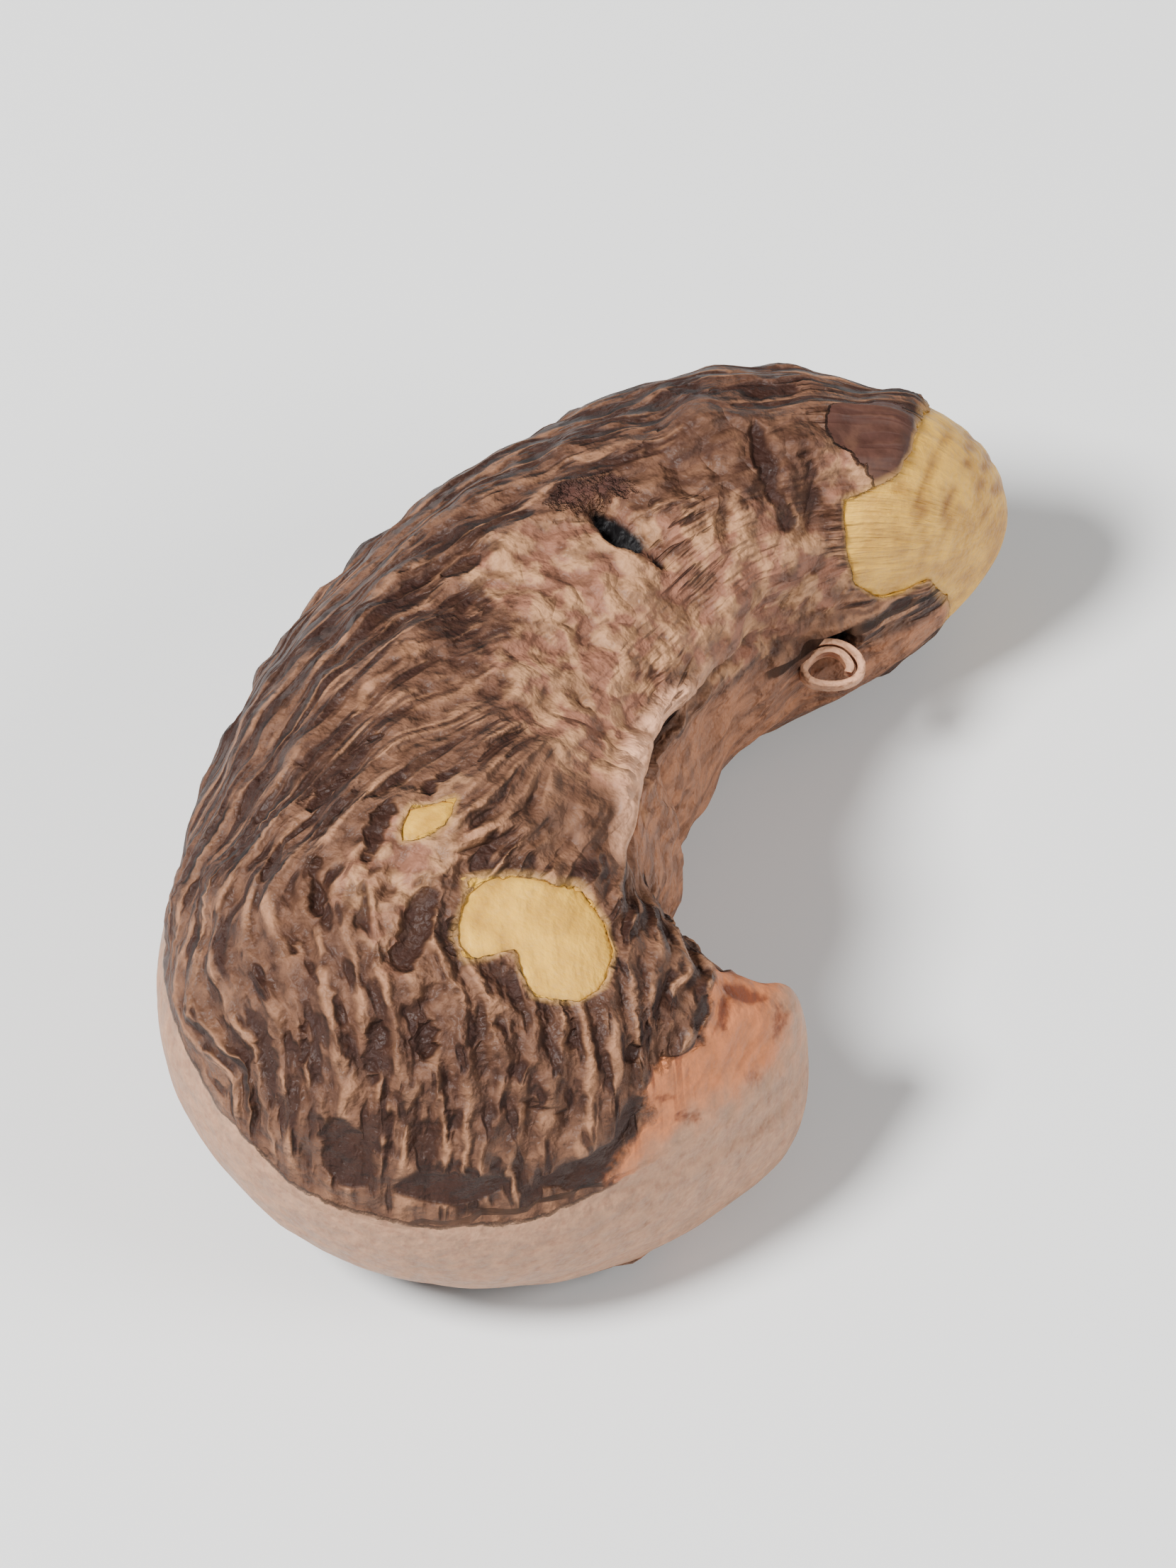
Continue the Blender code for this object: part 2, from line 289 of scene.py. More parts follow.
@dataclass(frozen=True)
class Relief:
    """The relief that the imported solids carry: swells, ridges, the strip and the crease.

    Attributes:
        strip: Lower and upper edge of the smooth strip along the back, as sides.
        strip_edge: Degrees in which the strip's edge rises.
        strip_groove: Depth of the groove along each of its edges.
        crease: Angles, and the crease's side at each.
        crease_width: Degrees from the crease's top to where a third of it is left.
        ridge_rise: Height of a ridge above the mean.
        turn_from: Angle from which the ridges turn down over the lobe.
        turn_share: Degrees of turn for each square degree of angle past that.
        ridges_fade: Angles between which the ridges fade by the hook.
        bay: Degrees from the back between which they fade towards the bay.
        bay_smoothness: How much of them is gone there.
        rest_width: Degrees by which the relief keeps off it.
        swells: Height, waves along the nut, waves round it, phase.
    """

    strip: Place = (-27.0, 5.0)
    strip_edge: float = 4.0
    strip_rise: float = 0.10
    strip_groove: float = 0.03
    crease: Curve = ((112, 125, 140, 170, 221, 250), (186, 169, 160, 150, 142, 137))
    crease_width: float = 9.0
    crease_rise: float = 0.2
    crease_fade: float = 10.0
    crease_groove: float = 0.16
    groove_off_crease: float = 13.0
    ridges: int = 18
    ridge_rise: float = 0.04
    lobe_ridge_rise: float = 0.03
    turn_from: float = 225.0
    turn_share: float = 0.0226
    ridges_fade: Place = (264.0, 288.0)
    bay: Place = (110.0, 150.0)
    bay_smoothness: float = 0.7
    rest_side: float = 270.0
    rest_width: float = 34.0
    swells: tuple[tuple[float, float, float, float], ...] = (
        (0.14, 3.0, 1.0, 0.4),
        (0.10, 5.0, 2.0, 2.1),
        (0.07, 9.0, 3.0, 4.0),
    )

    def off_rest(self, side: Array, share: float = 1.0, width: float | None = None) -> Array:
        """1 less a share of the bump along the line that the nut rests on."""
        return 1 - share * bump(side, self.rest_side, width or self.rest_width)

    def crease_side(self, angles: Array) -> Array:
        """The side at which the crease runs."""
        return np.interp(angles, *self.crease)

    def crease_share(self, angles: Array) -> Array:
        """1 where the crease is at its full height, 0 beyond its ends."""
        first, last, fade = self.crease[0][0], self.crease[0][-1], self.crease_fade
        return ease(first - fade, first + fade, angles) * (1 - ease(last - fade, last + fade, angles))

    def turn(self, angles: Array) -> Array:
        """Degrees by which the ridges have turned: a share of the squared way past the start."""
        return self.turn_share * np.maximum(angles - self.turn_from, 0.0) ** 2

    def broad(self, angles: Array, side: Array) -> Array:
        """Relief that the skin and the kernel share: strip, crease, and a sum of sine swells.

        Args:
            angles: Angle round the pole.
            side: Degrees round the slice, from 0 to 360.

        Returns:
            Heights.
        """
        back = to_side(side, 0.0)
        low, high, edge = *self.strip, self.strip_edge
        on_strip = ease(low - edge, low + edge, back) * (1 - ease(high - edge, high + edge, back))
        height = self.strip_rise * on_strip
        crease = bump(side, self.crease_side(angles), self.crease_width)
        height = height + self.crease_rise * self.crease_share(angles) * crease
        for rise, along, around, phase in self.swells:
            wave = along * np.radians(angles) + around * np.radians(side) + phase
            height = height + rise * np.sin(wave)
        return height * self.off_rest(side)

    def fine(self, angles: Array, side: Array) -> Array:
        """Relief of the skin alone: cosine ridges that turn with the lobe, and the grooves.

        Args:
            angles: Angle round the pole.
            side: Degrees round the slice, from 0 to 360.

        Returns:
            Heights.
        """
        back = to_side(side, 0.0)
        low, high, edge = *self.strip, self.strip_edge
        height = -self.strip_groove * (bump(back, low - edge, edge) + bump(back, high + edge, edge))
        groove = bump(side, self.crease_side(angles) + self.groove_off_crease, self.crease_width)
        height = height - self.crease_groove * self.crease_share(angles) * groove
        ridges = np.cos(np.radians(self.ridges * (np.abs(back) + self.turn(angles))))
        on_strip = ease(low - 2 * edge, low, back) * (1 - ease(high, high + 2 * edge, back))
        smooth = np.maximum(self.bay_smoothness * ease(*self.bay, np.abs(back)), on_strip)
        smooth = np.maximum(smooth, ease(*self.ridges_fade, angles))
        on_lobe = ease(self.turn_from, self.ridges_fade[0], angles)
        rise = self.ridge_rise + (self.lobe_ridge_rise - self.ridge_rise) * on_lobe
        return (height + rise * ridges * (1 - smooth)) * self.off_rest(side)


LIMB = Limb()
RELIEF = Relief()


@dataclass(frozen=True)
class RingPlan:
    """How finely a closed surface is gridded: rings in the tip, body and hook, and sides."""

    tip: int
    body: int
    hook: int
    sides: int

    @property
    def rings(self) -> int:
        """How many rings there are between the two ends."""
        return self.tip + self.body + self.hook

    def stations(self, ring: Array) -> tuple[Array, Array]:
        """Angle and opening of ring numbers: quarter circles in the ends, even steps between.

        Args:
            ring: Ring numbers, whole or broken, from 0 to one more than the last ring.

        Returns:
            The angles round the pole and the openings.
        """
        tip_turn = np.radians(90.0) * np.clip(ring / self.tip, 0.0, 1.0)
        hook_turn = np.radians(90.0) * np.clip((self.rings + 1 - ring) / self.hook, 0.0, 1.0)
        share = np.clip((ring - self.tip) / (self.body + 1), 0.0, 1.0)
        first, last = LIMB.tip_angle + LIMB.tip_cap, LIMB.hook_angle - LIMB.hook_cap
        angles = first + (last - first) * share
        angles = angles - LIMB.tip_cap * np.cos(tip_turn) + LIMB.hook_cap * np.cos(hook_turn)
        return angles, np.minimum(np.sin(tip_turn), np.sin(hook_turn))


@dataclass(frozen=True)
class Grain:
    """Which way the skin's grain runs: along the limb, aslant on the flank, and round the lobe.

    Attributes:
        lobe_middle: The fat lobe's middle.
        lobe_heading: Direction across the lobe's grain, in degrees.
        lobe_reach: The lobe's radius.
        globe: How much of that radius the globe has whose meridians the grain follows.
        lobe_from: Angles between which the grain turns from the limb's to the lobe's.
        narrowing: How much the globe is narrowed past the lobe's middle, and where.
        turn_start: The side at which the lobe's turn starts.
        run_start: Length along the limb at the lobe's middle.
        wall_from: Degrees from the back between which the limb's grain returns, by the bay.
        slants: Lengths along the limb, and degrees by which the grain has slanted at each.
        slant_fade: Degrees from the back between which the slant fades.
        most_turn: The turn that the ridges' own comes near but never passes.
        turn_fade: Degrees from the back between which that turn fades.
        reach: Radius of the grain's columns, and the share of it that is left at the ends.
        vein_spacing: From one light vein to the next.
        waver: How the veins waver.
    """

    lobe_middle: Colour = (1.61, -8.47, 6.4)
    lobe_heading: float = 34.0
    lobe_reach: float = 6.8
    globe: float = 0.94
    lobe_from: Place = (212.0, 240.0)
    narrowing: tuple[float, float, float] = (0.22, -2.0, -8.0)
    turn_start: float = 185.0
    run_start: float = 25.4
    wall_from: Place = (132.0, 168.0)
    slants: Curve = ((0.0, 8.0, 14.0, 20.5, 24.3, 30.0, 60.0), (84.0, 84.0, 68.0, 36.0, 0.0, 0.0, 0.0))
    slant_fade: Place = (92.0, 165.0)
    most_turn: float = 60.0
    turn_fade: Place = (100.0, 180.0)
    reach: Place = (6.3, 0.35)
    vein_spacing: float = 0.95
    waver: Rough = Rough(1.1, (1.4, 1.4, 2.4), 12, 3)

    def on_limb(self, angles: Array, back: Array) -> tuple[Array, Array]:
        """Turn and length along the limb, where the grain turns as the solids' ridges do.

        Args:
            angles: Angle round the pole.
            back: Degrees from the back.

        Returns:
            The turn in degrees and the length.
        """
        turn = self.most_turn * (1 - np.exp(-RELIEF.turn(angles) / self.most_turn))
        turn = turn * (1 - ease(*self.turn_fade, np.abs(back)))
        return np.where(back < 0, -1.0, 1.0) * (np.abs(back) + turn), LIMB.run(angles)

    def round_lobe(self, plain: Array) -> tuple[Array, Array]:
        """Turn and length round the fat lobe, whose grain runs like the meridians of a globe.

        Args:
            plain: Points of the plain surface.

        Returns:
            The turn in degrees, which meets the side at the lobe's start, and the length.
        """
        heading = np.radians(self.lobe_heading)
        x, y, z = np.moveaxis(plain - np.array(self.lobe_middle), -1, 0)
        across = x * np.cos(heading) + y * np.sin(heading)
        along = y * np.cos(heading) - x * np.sin(heading)
        globe = np.sqrt(np.maximum((self.globe * self.lobe_reach) ** 2 - across**2, 0.0))
        height = np.where(z < 0, -1.0, 1.0) * np.maximum(np.abs(z), globe)
        share, first, last = self.narrowing
        narrowed = height * (1 - share * ease(first, last, along))
        reach = np.maximum(np.hypot(z, across), 0.5)
        run = np.where(along < 0, self.lobe_reach * np.arctan2(along, reach), along)
        return self.turn_start - np.degrees(np.arctan2(narrowed, across)), self.run_start - run

    def follow(self, net: "Net") -> tuple[Array, Array]:
        """Coordinates that follow the grain: two across it and one along it, and the vein's number.

        Args:
            net: The places.

        Returns:
            The coordinates, and a number that grows by one from each vein to the next.
        """
        back = to_side(net.side, 0.0)
        turned, run = self.on_limb(net.angles, back)
        lobe_turned, lobe_run = self.round_lobe(net.plain)
        share = ease(*self.lobe_from, net.angles) * (1 - ease(*self.wall_from, np.abs(back)))
        run = run + share * (lobe_run - run)
        knots, slants = (np.array(numbers) for numbers in self.slants)
        slant = smooth_between(knots, slants, np.clip(run, 0.0, 50.0))
        slant = slant * (1 - ease(*self.slant_fade, np.abs(back)))
        spin = np.radians(turned + share * to_side(lobe_turned, turned) - slant)
        reach = self.reach[0] * (self.reach[1] + (1 - self.reach[1]) * net.opening)
        grain = np.stack([reach * np.cos(spin), reach * np.sin(spin), run], axis=-1)
        return grain, (self.lobe_reach * spin + self.waver.at(grain)) / self.vein_spacing


GRAIN = Grain()


@dataclass
class Net:
    """Places on the plain surface, one for each vertex, and what follows from them.

    Attributes:
        plan: The grid that the ring numbers belong to.
        ring: Ring number of each place.
        side: Side of each place in degrees.
        angles: Angle round the pole.
        opening: How far the slice has opened, 0 at the limb's ends.
        plain: The point on the plain surface.
        outward: The way straight out of it.
        grain: Coordinates that follow the grain.
        column: A number that grows by one from each vein to the next.
    """

    plan: RingPlan
    ring: Array
    side: Array
    angles: Array = field(init=False)
    opening: Array = field(init=False)
    plain: Array = field(init=False)
    outward: Array = field(init=False)
    grain: Array = field(init=False)
    column: Array = field(init=False)

    def __post_init__(self) -> None:
        """Works out the points, the normals, and coordinates that follow the grain."""
        self.angles, self.opening = self.plan.stations(self.ring)
        self.plain = LIMB.points(self.angles, self.opening, self.side)
        along = self.beside(0.5, 0.0) - self.beside(-0.5, 0.0)
        around = self.beside(0.0, 0.5) - self.beside(0.0, -0.5)
        normal = np.cross(along, around)
        self.outward = normal / np.linalg.norm(normal, axis=-1, keepdims=True)
        self.grain, self.column = GRAIN.follow(self)

    @classmethod
    def whole(cls, plan: RingPlan) -> "Net":
        """A place for every ring and side of a grid."""
        rings, sides = np.arange(1.0, plan.rings + 1), 360.0 * np.arange(plan.sides) / plan.sides
        return cls(plan, *np.meshgrid(rings, sides, indexing="ij"))

    @property
    def turn(self) -> Array:
        """The sides, from 0 to 360."""
        return self.side % 360.0

    def beside(self, rings: float, degrees: float) -> Array:
        """Plain points a little way off, for the slopes.

        Args:
            rings: How many rings on.
            degrees: How many degrees round.

        Returns:
            The points.
        """
        ring = np.clip(self.ring + rings, 0.02, self.plan.rings + 0.98)
        angles, opening = self.plan.stations(ring)
        return LIMB.points(angles, opening, self.side + degrees)


@dataclass(frozen=True)
class Mark:
    """A soft-edged mark round a line of places on the skin.

    Attributes:
        places: Angle and side of each place in turn.
        reach: Half its width in millimetres.
        soft: How soft its edge is in millimetres.
        strength: Its share at the middle.
    """

    places: tuple[Place, ...]
    reach: float
    soft: float
    strength: float = 1.0

    def share(self, net: Net, warp: Array) -> Array:
        """Falls from the strength to 0 past the reach, which narrows to 0.6 at the line's ends.

        Args:
            net: Where to judge it.
            warp: Millimetres by which the edge wanders at each place.

        Returns:
            Numbers from 0 to the strength.
        """
        knots = np.array(self.places)
        steps = np.linspace(0, len(knots) - 1, 8 * (len(knots) - 1) + 1)
        angles, sides = (np.interp(steps, np.arange(len(knots)), knots[:, k]) for k in (0, 1))
        line = LIMB.on_skin(angles, sides)
        edge = np.full(net.ring.shape, np.inf)
        for way, point in zip(np.linspace(0, np.pi, len(line)), line):
            reach = self.reach * (0.6 + 0.4 * np.sin(way))
            edge = np.minimum(edge, np.linalg.norm(net.plain - point, axis=-1) - reach)
        return self.strength * (1 - ease(-self.soft, self.soft, edge + warp))


@dataclass(frozen=True)
class MarkSet:
    """Marks of one kind.

    Attributes:
        wander: How much of the broad wander their edges take.
        warp: How much of the fine warp.
    """

    marks: tuple[Mark, ...]
    wander: float = 0.0
    warp: float = 0.0

    def share(self, net: Net, wander: Array, warp: Array) -> Array:
        """The largest share that any of the marks has at each place."""
        edge = self.wander * wander + self.warp * warp
        return np.max([mark.share(net, edge) for mark in self.marks], axis=0)


# A distance in millimetres that counts as far from every bare patch.
FAR = 9.0


@dataclass(frozen=True)
class Patch:
    """A place where the skin has flaked off, its torn outline a ring of straight runs.

    Attributes:
        start: Angle at which the rays through the outline start, on the limb's middle line.
        corners: Angle and side of each corner of the outline in turn.
    """

    start: float
    corners: tuple[Place, ...]

    def distance(self, points: Array) -> Array:
        """Millimetres from the patch's edge, below 0 inside it.

        Points and corners are carried along their rays onto the plane through the corners'
        middle. The distance is that to the nearest run there, and a point is inside where the
        turns from each corner to the next, as seen from it, add up to a whole one.

        Args:
            points: Points of the plain surface.

        Returns:
            Signed distances.
        """
        ring, start = LIMB.on_skin(*np.array(self.corners).T), LIMB.middle(self.start)
        way = ring.mean(axis=0) - start
        reach = np.linalg.norm(way)
        out = way / reach
        level = np.cross(out, (0.0, 0.0, 1.0))
        level /= np.linalg.norm(level)
        plane = np.stack([level, np.cross(out, level)], axis=-1)

        def carry(places: Array) -> Array:
            """Carries places onto the plane."""
            offset = places - start
            return offset @ plane / np.maximum(offset @ out / reach, 0.05)[..., None]

        corners, flat = carry(ring), carry(points)
        nearest, winding = np.full(flat.shape[:-1], np.inf), np.zeros(flat.shape[:-1])
        for first, second in zip(corners, np.roll(corners, -1, axis=0)):
            run = second - first
            a, b = flat - first, flat - second
            share = np.clip(a @ run / (run @ run), 0.0, 1.0)
            nearest = np.minimum(nearest, np.linalg.norm(a - share[..., None] * run, axis=-1))
            turn = a[..., 0] * b[..., 1] - a[..., 1] * b[..., 0]
            winding += np.arctan2(turn, (a * b).sum(axis=-1))
        signed = np.where(np.abs(winding) > np.pi, -nearest, nearest)
        return np.where((points - start) @ out > 0, signed, FAR)


# The bare tip, the large and the small bare spot on the face, and one underneath.
PATCHES = (
    Patch(
        124.0,
        (
            (105.9, 89), (106, 100), (106.4, 109), (112.4, 118), (111.5, 130), (110.5, 143),
            (108.2, 161), (104.8, 172), (99.6, 172), (98, 200), (101, 250), (104, 300),
            (106.5, 345), (107.5, 30), (106.5, 65),
        ),
    ),
    Patch(
        261.5,
        (
            (247.4, 93), (251.1, 104), (257, 117), (266, 111), (270.8, 103), (273.2, 91), (271.3, 83),
            (266.5, 82), (262.6, 87), (259.7, 91), (257.8, 88), (256.3, 82.5), (253.5, 85),
        ),
    ),
    Patch(234.5, ((232, 90), (232.5, 96), (236, 94.5), (238, 91), (237, 87), (234, 88))),
    Patch(206.0, ((197, 228), (201, 222), (209, 224), (216, 233), (213, 242), (205, 243), (199, 238))),
)
# How the torn edges waver.
TORN_WAVER = Rough(0.22, 0.8, 31)
# How far a film of skin reaches over the kernel inside a torn edge.
FILM = 0.12


def bare_distance(net: Net) -> Array:
    """Millimetres from the nearest bare patch's torn edge, below 0 where the kernel shows."""
    return np.min([patch.distance(net.plain) for patch in PATCHES], axis=0) + TORN_WAVER.at(net.plain)


@dataclass(frozen=True)
class BareTip:
    """The kernel's own relief and its painted shade in darker gold: long swells, and furrows round the bare
    tip.

    Attributes:
        swell: The swells, long along the grain.
        swell_off_rest: Degrees by which they keep off the floor.
        spacing: From one furrow to the next.
        depth: How deep they are.
        round_end: How much longer the way to the end is at the rim of the tip's cap.
        wander: How the furrows wander.
        stir: How their depth varies.
        breaks: Where they break off.
        bay_fade: Sides between which they grow weaker, towards the bay.
        body_fade: Angles between which they grow weaker, towards the body.
        body_end: Angles between which they end.
        gold_end: Angles between which the painted shade in gold at the tip's end fades.
    """

    swell: Rough = Rough(0.10, (1.2, 1.2, 4.0), 61, 3)
    swell_off_rest: float = 30.0
    spacing: float = 0.9
    depth: float = 0.13
    round_end: float = 3.3
    wander: Rough = Rough(1.8, 3.4, 67, 2)
    stir: Rough = Rough(0.9, 1.5, 68, 2)
    breaks: Rough = Rough(1.3, 1.6, 69, 2)
    bay_fade: Place = (105.0, 150.0)
    body_fade: Place = (100.0, 107.0)
    body_end: Place = (111.0, 115.0)
    gold_end: Place = (96.0, 100.5)

    def furrows(self, net: Net) -> Array:
        """Shallow furrows: the upper half of a cosine of the way to the tip's end.

        Args:
            net: The places.

        Returns:
            Numbers from 0 to 1.
        """
        to_end = LIMB.run(net.angles) + self.round_end * net.opening + self.wander.at(net.plain)
        wave = np.cos(2 * np.pi * to_end / self.spacing) + self.stir.at(net.plain) - 0.05
        broken = np.clip(1.0 + self.breaks.at(net.plain), 0.2, 1.0)
        broken = broken * (1 - 0.6 * ease(*self.bay_fade, net.turn))
        fade = (1 - 0.8 * ease(*self.body_fade, net.angles)) * (1 - ease(*self.body_end, net.angles))
        return ease(-0.2, 1.1, wave) * broken * fade

    def gold(self, net: Net) -> Array:
        """How much painted shade, in darker gold, the kernel has: in the furrows, and all over towards the
        end of the tip.
        """
        return np.maximum(self.furrows(net), 0.4 * (1 - ease(*self.gold_end, net.angles)))

    def rise(self, net: Net, depth: float) -> Array:
        """The kernel's relief: the solids' broad relief, swells and furrows, less a depth.

        Args:
            net: The places.
            depth: How far the kernel lies under the plain surface.

        Returns:
            Heights.
        """
        own = self.swell.at(net.grain) - self.depth * self.furrows(net)
        own = own * RELIEF.off_rest(net.turn, width=self.swell_off_rest)
        return (RELIEF.broad(net.angles, net.turn) + own) * net.opening**2 - depth


TIP = BareTip()


@dataclass
class SurfaceMesh:
    """Points, faces and per-point values, gathered before Blender gets them.

    Attributes:
        points: Points in millimetres.
        quads: Rows of four point numbers.
        triangles: Rows of three point numbers.
        values: One or three numbers for each point, by attribute name.
    """

    points: Array
    quads: Array
    triangles: Array
    values: dict[str, Array]

    def join(self, other: "SurfaceMesh") -> "SurfaceMesh":
        """Both surfaces as one.

        Args:
            other: The surface whose points are numbered after these.

        Returns:
            The joined surface.
        """
        past = len(self.points)
        return SurfaceMesh(
            np.concatenate([self.points, other.points]),
            np.concatenate([self.quads, other.quads + past]),
            np.concatenate([self.triangles, other.triangles + past]),
            {name: np.concatenate([v, other.values[name]]) for name, v in self.values.items()},
        )

    def make(self, piece: Piece, material: bpy.types.Material) -> bpy.types.Object:
        """Makes the object that dresses a node, smooth, with its attributes and material.

        Args:
            piece: Which node it dresses.
            material: Its finish.

        Returns:
            The object, riding on the body.
        """
        mesh = bpy.data.meshes.new(f"dressed_{piece.value}")
        mesh.from_pydata((self.points * MM).tolist(), [], self.quads.tolist() + self.triangles.tolist())
        for name, numbers in self.values.items():
            kind, key = ("FLOAT", "value") if numbers.ndim == 1 else ("FLOAT_VECTOR", "vector")
            layer = mesh.attributes.new(name, kind, "POINT")
            layer.data.foreach_set(key, numbers.astype(np.float32).ravel())
        mesh.shade_smooth()
        mesh.materials.append(material)
        obj = bpy.data.objects.new(f"dressed_{piece.value}", mesh)
        bpy.context.scene.collection.objects.link(obj)
        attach(obj, "root")
        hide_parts(piece.value)
        count = len(self.quads) * 2 + len(self.triangles)
        LOG.info("%s: %d points, %d triangles", piece.value, len(self.points), count)
        return obj


def grid_quads(rings: int, sides: int) -> Array:
    """Quads between neighbouring rings, each side joined to the next and the last to the first.

    Args:
        rings: How many rings.
        sides: How many points on each.

    Returns:
        Four point numbers for each quad, in an array of rings less one by sides by four.
    """
    ring, k = np.meshgrid(np.arange(rings - 1), np.arange(sides), indexing="ij")
    after = (k + 1) % sides
    here, beyond = ring * sides, (ring + 1) * sides
    return np.stack([here + k, beyond + k, beyond + after, here + after], axis=-1)


def fan(first: int, sides: int, pole: int) -> Array:
    """Triangles from a ring to a pole: each point of the ring, the next one, and the pole."""
    k = np.arange(sides)
    return np.stack([first + k, first + (k + 1) % sides, np.full(sides, pole)], axis=-1)


@dataclass(frozen=True)
class Curl:
    """A torn strip of skin by the bay that has rolled up, seen from its end.

    Attributes:
        place: Angle and side of the skin that it stands on.
        lift: How far its middle stands off the skin.
        lean: Direction of its axis.
        radii: Radius at its inner and at its outer end.
        waver: By how much the radius goes up and down, three times a turn.
        flatness: Its height as a share of its width.
        thickness: Thickness of the strip.
        steps: How many slices it has.
        rows: How many points each slice has on one face.
    """

    place: Place = (111.8, 184.0)
    lift: float = 0.5
    lean: Colour = (0.27, -0.36, 0.89)
    radii: Place = (0.62, 1.08)
    waver: float = 0.04
    flatness: float = 0.68
    turns: float = 1.45
    start: float = 150.0
    length: float = 0.9
    thickness: float = 0.22
    steps: int = 70
    rows: int = 7

    def surface(self, names: tuple[str, ...]) -> SurfaceMesh:
        """Slices round the strip, whose radius grows evenly with the turn, closed at both ends.

        Args:
            names: The attributes that the skin's points have.

        Returns:
            The closed surface.
        """
        share = np.linspace(0.0, 1.0, self.steps)[:, None]
        spin = np.radians(self.start + 360.0 * self.turns * share)
        there = np.linspace(-0.5, 0.5, self.rows) * self.length
        along = np.concatenate([there, there[::-1]])[None]
        inward = np.repeat([0.0, self.thickness], self.rows)[None]
        radius = self.radii[0] + (self.radii[1] - self.radii[0]) * share - inward
        radius = radius + self.waver * np.sin(3 * spin)
        axis = np.array(self.lean) / np.linalg.norm(self.lean)
        level = np.cross(axis, (0.0, 0.0, 1.0))
        level /= np.linalg.norm(level)
        rest = LIMB.on_skin(*np.array(self.place)[:, None])[0]
        outward = rest - LIMB.middle(self.place[0])
        middle = rest + outward / np.linalg.norm(outward) * self.lift
        ways = (np.cos(spin) * radius, self.flatness * np.sin(spin) * radius, along + 0.0 * radius)
        faces = (level, np.cross(axis, level), axis)
        points = sum(way[..., None] * face for way, face in zip(ways, faces)) + middle
        points = points.reshape(-1, 3)
        loop = 2 * self.rows
        k = np.arange(self.rows - 1)
        cap = np.stack([k, k + 1, loop - 2 - k, loop - 1 - k], axis=-1)
        end_cap = cap[:, ::-1] + (self.steps - 1) * loop
        quads = np.concatenate([grid_quads(self.steps, loop).reshape(-1, 4), cap, end_cap])
        # The curl takes the ridge's colour, which is partly a painted highlight.
        fixed = {"torn": 2.0, "ridge": 0.8, "strip": -2.0, "hook": -2.0, "tone": 0.8}
        values = {name: np.full(len(points), fixed.get(name, 0.0)) for name in names}
        return SurfaceMesh(points, quads, np.zeros((0, 3), int), values | {"grain": points})
